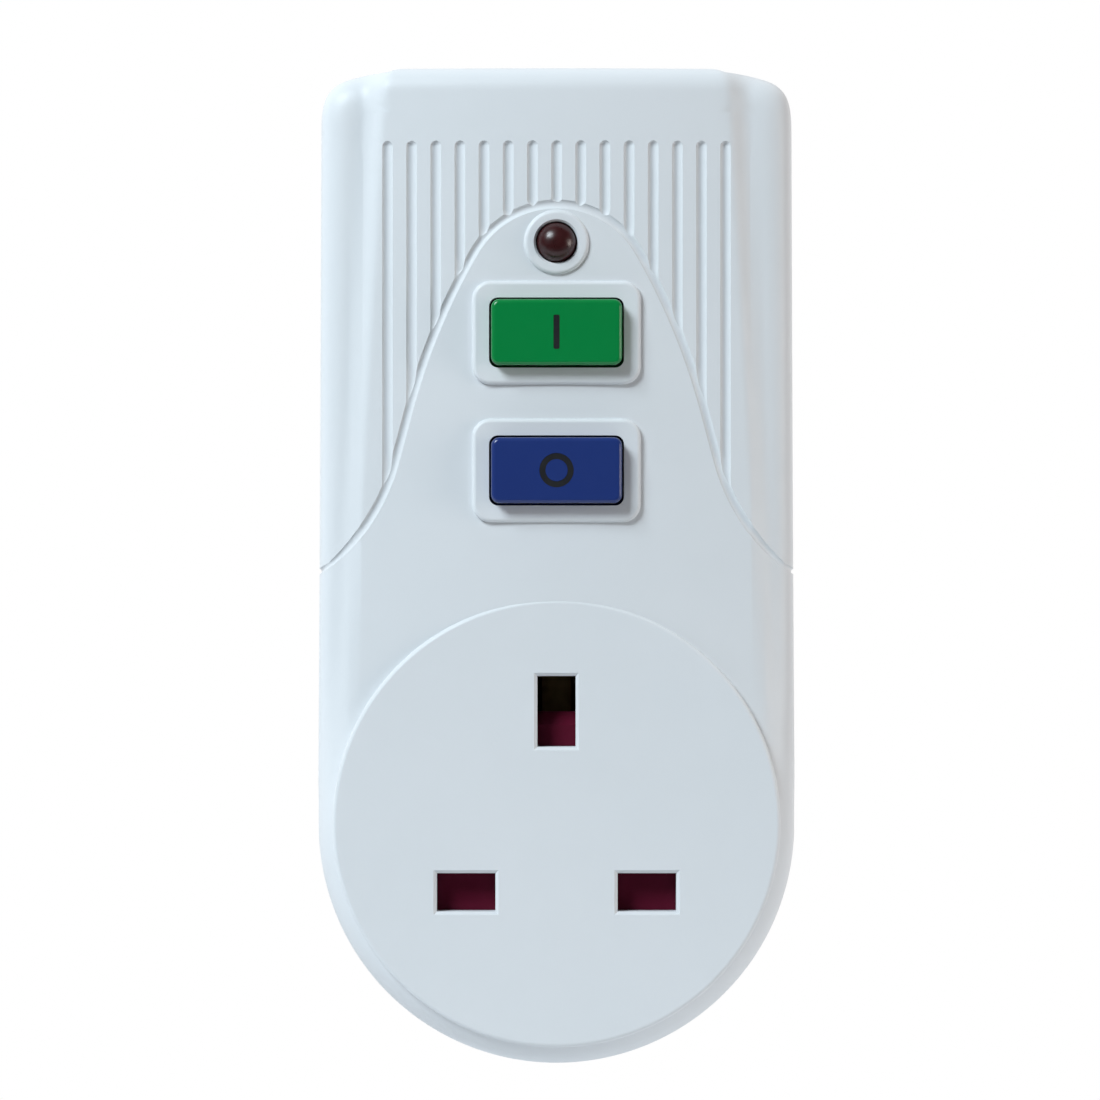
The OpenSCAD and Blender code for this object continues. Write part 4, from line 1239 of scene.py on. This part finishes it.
@dataclass
class RearBase:
    """Rear shell that the pins come out of: an eased rim round the floor, bosses and lip of the CAD base."""

    outline: CaseOutline
    rear_edge: float = 0.9
    rim: float = 1.0
    lip: float = 3.0

    def build(self) -> Piece:
        """Make the base.

        Returns:
            The finished piece.
        """
        line = self.outline
        shell = line.solid("rim", (0, line.parting))
        soften(shell, self.rear_edge, at_depth(0), segments=5)
        soften(shell, line.seam_radius, at_depth(line.parting), segments=2)
        work(shell, line.solid("hollow", (-PAST, line.parting + PAST), self.rim + TOUCH), Join.CUT)
        piece = welded_copy("rear_base", "rear_base_shell")
        work(piece, line.solid("core", (-PAST, line.parting + self.lip), self.rim), Join.KEEP)
        work(piece, shell, Join.ADD)
        return fit(piece, "case", "white_case", "rear_base")


@dataclass
class PushButton:
    """Push button: rounded cap with an eased rim, flange that stops it, stem, and an inlaid sign."""

    node: str
    body: str
    slot: str
    mark: Mark
    cap_width: float = 16.0
    cap_height: float = 8.05
    cap_corner: float = 1.0
    cap_rim: float = 0.55
    flange_reach: float = 1.275
    flange_depth: Span = FLANGE_DEPTH
    flange_edge: float = 0.2
    stem_radius: float = 2.2
    mark_height: float = 4.2
    mark_stroke: float = 0.75
    mark_corner: float = 0.2
    mark_deep: float = 0.3
    mark_low: float = 0.04

    def sign(self, name: str, depth: Span, z: float) -> Piece:
        """Make the button's sign as a flat solid.

        Args:
            name: Name of the piece.
            depth: Rear and front faces.
            z: Height of the button's middle.

        Returns:
            The solid.
        """
        if self.mark is Mark.BAR:
            return round_plate(name, self.mark_stroke, self.mark_height, self.mark_corner, depth, z)
        radius = self.mark_height / 2
        piece = rod(name, radius, depth, z)
        through = (depth[0] - PAST, depth[1] + PAST)
        work(piece, rod("ring_hole", radius - self.mark_stroke, through, z), Join.CUT)
        return piece

    def build(self) -> Piece:
        """Make the button and its sign.

        Returns:
            The finished button.
        """
        low, high = (sizes_of(corner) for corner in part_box(self.node))
        face = low.y
        stem_end = high.y
        z = (low.z + high.z) / 2
        flange_back, flange_front = self.flange_depth
        cap = (flange_back, face)
        piece = round_plate(f"{self.node}_cap", self.cap_width, self.cap_height, self.cap_corner, cap, z)
        soften(piece, self.cap_rim, at_depth(face), segments=6)
        half_w = self.cap_width / 2 + self.flange_reach
        half_h = self.cap_height / 2 + self.flange_reach
        flange = block("flange", (-half_w, half_w), self.flange_depth, (z - half_h, z + half_h))
        soften(flange, self.flange_edge, at_depth(flange_front), segments=2)
        work(piece, flange, Join.ADD)
        work(piece, rod("stem", self.stem_radius, (stem_end, flange_front), z), Join.ADD)
        floor = face - self.mark_deep
        work(piece, self.sign("recess", (floor, face + PAST), z), Join.CUT)
        inlay = self.sign(f"{self.node}_sign", (floor + TOUCH, face - self.mark_low), z)
        fit(inlay, self.body, "black_plastic", finish=PRINT_INK)
        return fit(piece, self.body, self.slot, self.node)


@dataclass
class LampLens:
    """Domed indicator lens that rises out of its hole, with a flange behind the cover."""

    z: float = LAMP_Z
    radius: float = 2.4
    flange: float = 3.05
    flange_depth: Span = FLANGE_DEPTH
    dome_start: float = 42.9
    dome_rise: float = 1.9
    dome_rings: int = 14
    dome_turn: float = 86.0

    def build(self) -> Piece:
        """Make the lens, its dome drawn out ring by ring.

        Returns:
            The finished piece.
        """
        piece = rod("lamp_dome", self.radius, (self.flange_depth[0], self.dome_start), self.z)
        angles = spread_out(0, math.radians(self.dome_turn), self.dome_rings)
        with shaping(piece):
            pick(piece, Element.FACES, at_depth(self.dome_start))
            for before, after in zip(angles, angles[1:]):
                rise = self.dome_rise * (math.sin(after) - math.sin(before))
                share = math.cos(after) / math.cos(before)
                draw_out(rise, share, share, place(0, 0, self.z))
            face_outwards()
        work(piece, rod("collar", self.flange, self.flange_depth, self.z), Join.ADD)
        return fit(piece, "case", "red_lens", "lamp_lens")


@dataclass
class SafetyShutter:
    """Sliding shutter behind the apertures: a plate with two windows and a neck with a ramp at its top."""

    half_width: float = 15.6
    back: float = 37.5
    front: float = 39.9
    low: float = -13.0
    top: float = 3.0
    neck_half: float = 4.5
    neck_top: float = 13.6
    neck_lap: float = 4.0
    ramp: float = 1.6
    window_x: float = POLE_X
    window_z: float = -2.26
    window_half: Span = (4.0, 2.7)
    edge: float = 0.25

    def build(self) -> Piece:
        """Make the shutter.

        Returns:
            The finished piece.
        """
        depth = (self.back, self.front)
        piece = block("shutter_plate", (-self.half_width, self.half_width), depth, (self.low, self.top))
        soften(piece, self.edge, at_depth(self.front), segments=3)
        rise = (self.top - self.neck_lap, self.neck_top)
        neck = block("neck", (-self.neck_half, self.neck_half), depth, rise)
        soften(
            neck,
            self.ramp,
            lambda c: abs(c.y - self.front) < TOUCH and abs(c.z - self.neck_top) < TOUCH,
            segments=1,
        )
        work(piece, neck, Join.ADD)
        across, up = self.window_half
        through = (self.back - PAST, self.front + PAST)
        height = (self.window_z - up, self.window_z + up)
        for x in (-self.window_x, self.window_x):
            work(piece, block("window", (x - across, x + across), through, height), Join.CUT)
        return fit(piece, "shutter_slider", "maroon_plastic", "shutter")


@dataclass
class EasedNode:
    """CAD node whose sharp edges are eased, as moulding, stamping or plating leaves them."""

    node: str
    body: str
    slot: str
    edge: float
    segments: int = 2
    sharp: float = 40.0
    smooth: float = 50.0

    def build(self) -> Piece:
        """Make the eased piece.

        Returns:
            The finished piece.
        """
        piece = welded_copy(self.node, f"{self.node}_eased")
        modify(
            piece,
            "BEVEL",
            width=self.edge * MM,
            segments=self.segments,
            limit_method="ANGLE",
            angle_limit=math.radians(self.sharp),
        )
        return fit(piece, self.body, self.slot, self.node, smooth=self.smooth)


@dataclass
class CoilSpring:
    """Compression spring wound round an axis along the depth or upwards."""

    node: str
    joint: str
    coil: float
    wire: float
    turns: int
    travel: float
    anchor: float
    places: tuple[Span, ...]
    upright: bool = False
    wire_sides: int = 12
    turn_steps: int = 32
    smooth: float = 60.0

    def wind(self, name: str, length: float) -> Piece:
        """Wind one spring upwards from the origin.

        Args:
            name: Name of the piece.
            length: Length of the spring.

        Returns:
            The closed solid.
        """
        bpy.ops.mesh.primitive_circle_add(
            vertices=self.wire_sides,
            radius=self.wire * MM,
            location=(self.coil * MM, 0, self.wire * MM),
            rotation=(SQUARE, 0, 0),
        )
        piece = taken_up(name)
        modify(
            piece,
            "SCREW",
            iterations=self.turns,
            screw_offset=(length - 2 * self.wire) / self.turns * MM,
            steps=self.turn_steps,
            render_steps=self.turn_steps,
        )
        with shaping(piece):
            bpy.ops.mesh.fill_holes(sides=0)
            face_outwards()
        return piece

    def build(self) -> Piece:
        """Make the springs of the node in one piece.

        Returns:
            The finished piece.
        """
        low, high = (sizes_of(corner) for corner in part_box(self.node))
        length = high.z - low.z if self.upright else low.y - high.y
        springs = []
        for x, across in self.places:
            spring = self.wind(f"{self.node}_coil", length)
            if self.upright:
                spring.location = place(x, across, low.z)
            else:
                spring.rotation_euler = (SQUARE, 0, 0)
                spring.location = place(x, high.y, across)
            springs.append(spring)
        piece = joined(springs)
        fit(piece, "case", "steel", self.node, smooth=self.smooth)
        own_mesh(piece)
        return piece


@dataclass
class Studio:
    """Pale floor, soft light, white surround and the photograph's camera."""

    distance: float = 600.0
    photo_width: float = 134.9
    aim_x: float = -0.8
    aim_z: float = 33.55
    front: float = SOCKET_DEPTH
    sensor: float = 36.0
    clip_start: float = 0.01
    floor_drop: float = 48.0
    floor_thick: float = 10.0
    floor_x: Span = (-900.0, 900.0)
    floor_depth: Span = (-300.0, 180.0)
    ambient: float = 0.07
    backdrop_glow: float = 0.88
    glow_turn: Span = (-0.5, 0.15)
    room_gloss: float = 0.05
    gloss_turn: Span = (-0.1, 0.3)
    surround_colour: str = "#f8f8f8"
    key_power: float = 6.8
    key_place: Triple = (-409.0, 465.0, 482.0)
    key_size: float = 0.28
    key_colour: str = "#ecf8fe"
    fill_power: float = 1.4
    fill_place: Triple = (615.0, 205.0, 20.0)
    fill_size: float = 0.25
    fill_colour: str = "#fff6ee"

    def floor(self) -> None:
        """Lay the floor below and in front of the part."""
        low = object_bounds()[0][2] / MM - self.floor_drop
        piece = block("floor", self.floor_x, self.floor_depth, (low - self.floor_thick, low))
        piece.data.materials.append(material_of(FLOOR_PAINT))
        piece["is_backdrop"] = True

    def lamp(self, name: str, off: Triple, size: float, power: float, colour: str) -> None:
        """Hang a square soft lamp that faces the front of the part.

        Args:
            name: Name of the lamp.
            off: Millimetres right of, in front of and above the middle of the front.
            size: Side of its panel in metres.
            power: Watts.
            colour: Hex value of its light.
        """
        aim = place(0, self.front, self.aim_z)
        spot = aim + place(*off)
        light = bpy.data.lights.new(name, "AREA")
        light.color = linear(colour)[:3]
        light.size = size
        light.energy = power
        lamp = linked(name, light)
        lamp.location = spot
        lamp.rotation_euler = (aim - spot).to_track_quat("-Z", "Y").to_euler()

    def surround(self) -> None:
        """Light the scene evenly, with a white backdrop behind the part and a dim room in front of it.

        The camera sees white all round. Reflections see the backdrop behind the part and the room before it.
        """
        world = bpy.data.worlds.new("studio_surround")
        world.use_nodes = True
        tree = world.node_tree
        tree.nodes.clear()
        ray = add_node(tree, "ShaderNodeLightPath")
        way = add_node(tree, "ShaderNodeTexCoord")
        parts = add_node(tree, "ShaderNodeSeparateXYZ", {}, {0: way.outputs["Generated"]})
        glow, gloss = (
            add_node(
                tree,
                "ShaderNodeMapRange",
                {"From Min": turn[0], "From Max": turn[1], "To Min": front, "To Max": behind},
                {"Value": parts.outputs["Y"]},
            ).outputs[0]
            for turn, front, behind in (
                (self.glow_turn, self.ambient, self.backdrop_glow),
                (self.gloss_turn, self.room_gloss, 1.0),
            )
        )
        strength = add_node(
            tree, "ShaderNodeMix", {}, {0: ray.outputs["Is Glossy Ray"], 2: glow, 3: gloss}
        )
        soft = add_node(
            tree,
            "ShaderNodeBackground",
            {"Color": linear(self.surround_colour)},
            {"Strength": strength.outputs[0]},
        )
        white = add_node(tree, "ShaderNodeBackground", {"Color": (1, 1, 1, 1), "Strength": 1.0})
        direct = add_node(
            tree,
            "ShaderNodeMath",
            {"operation": "MAXIMUM"},
            {0: ray.outputs["Is Camera Ray"], 1: ray.outputs["Is Transmission Ray"]},
        )
        both = add_node(
            tree,
            "ShaderNodeMixShader",
            {},
            {0: direct.outputs[0], 1: soft.outputs[0], 2: white.outputs[0]},
        )
        add_node(tree, "ShaderNodeOutputWorld", {}, {"Surface": both.outputs[0]})
        bpy.context.scene.world = world

    def camera(self) -> None:
        """Set the camera square to the front, at the photograph's place and angle."""
        data = bpy.data.cameras.new("photo_camera")
        data.sensor_width = self.sensor
        data.lens = self.sensor * self.distance / self.photo_width
        data.clip_start = self.clip_start
        view = linked("photo_camera", data)
        view.location = place(self.aim_x, self.front + self.distance, self.aim_z)
        view.rotation_euler = (SQUARE, 0, 0)
        bpy.context.scene.camera = view

    def build(self) -> None:
        """Set up the whole studio."""
        self.floor()
        self.lamp("key_lamp", self.key_place, self.key_size, self.key_power, self.key_colour)
        self.lamp("fill_lamp", self.fill_place, self.fill_size, self.fill_power, self.fill_colour)
        self.surround()
        self.camera()
        bpy.context.scene.view_settings.view_transform = "Standard"


def dress_nodes() -> None:
    """Give every CAD node that still shows the finish of its slot."""
    for row in frame["record"]["subparts"]:
        node = frame["nodes"][row["node"]]
        if node.hide_render:
            continue
        finish = NODE_FINISH.get(row["node"], SLOT_FINISH[row["material_slot"]])
        node.data.materials.clear()
        node.data.materials.append(material_of(finish))
        LOG.info("%s: CAD node in %s", row["node"], row["material_slot"])


def main() -> None:
    """Build the part piece by piece, and the studio round it."""
    logging.basicConfig(level=logging.INFO, format="%(message)s")
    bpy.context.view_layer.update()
    outline = CaseOutline()
    form = CoverForm(outline)
    FrontCover(form, CoverGrooves(form)).build()
    RearBase(outline).build()
    PushButton("reset_button", "reset", "green_plastic", Mark.BAR).build()
    PushButton("test_button", "test", "navy_plastic", Mark.RING).build()
    LampLens().build()
    SafetyShutter().build()
    for pin in ("earth_pin", "live_pin", "neutral_pin"):
        EasedNode(pin, "case", "brass", edge=0.2).build()
    for sleeve in ("live_sleeve", "neutral_sleeve"):
        EasedNode(sleeve, "case", "black_plastic", edge=0.15).build()
    EasedNode("case_screws", "case", "steel", edge=0.12).build()
    for spring in (
        CoilSpring("reset_spring", "reset_press", coil=3.1, wire=0.25, turns=4, travel=3.0,
                   anchor=33.6, places=((0, RESET_Z),)),
        CoilSpring("test_spring", "test_press", coil=3.1, wire=0.25, turns=4, travel=2.0,
                   anchor=33.6, places=((0, TEST_Z),)),
        CoilSpring("carriage_springs", "contact_close", coil=1.65, wire=0.2, turns=7, travel=3.0,
                   anchor=12.0, places=((-7.2, RESET_Z), (7.2, RESET_Z))),
        CoilSpring("shutter_spring", "shutter_open", coil=0.95, wire=0.2, turns=7, travel=6.2,
                   anchor=-23.6, places=((0, 38.7),), upright=True),
    ):
        spring.build()
    dress_nodes()
    Studio().build()


if __name__ == "__main__":
    main()
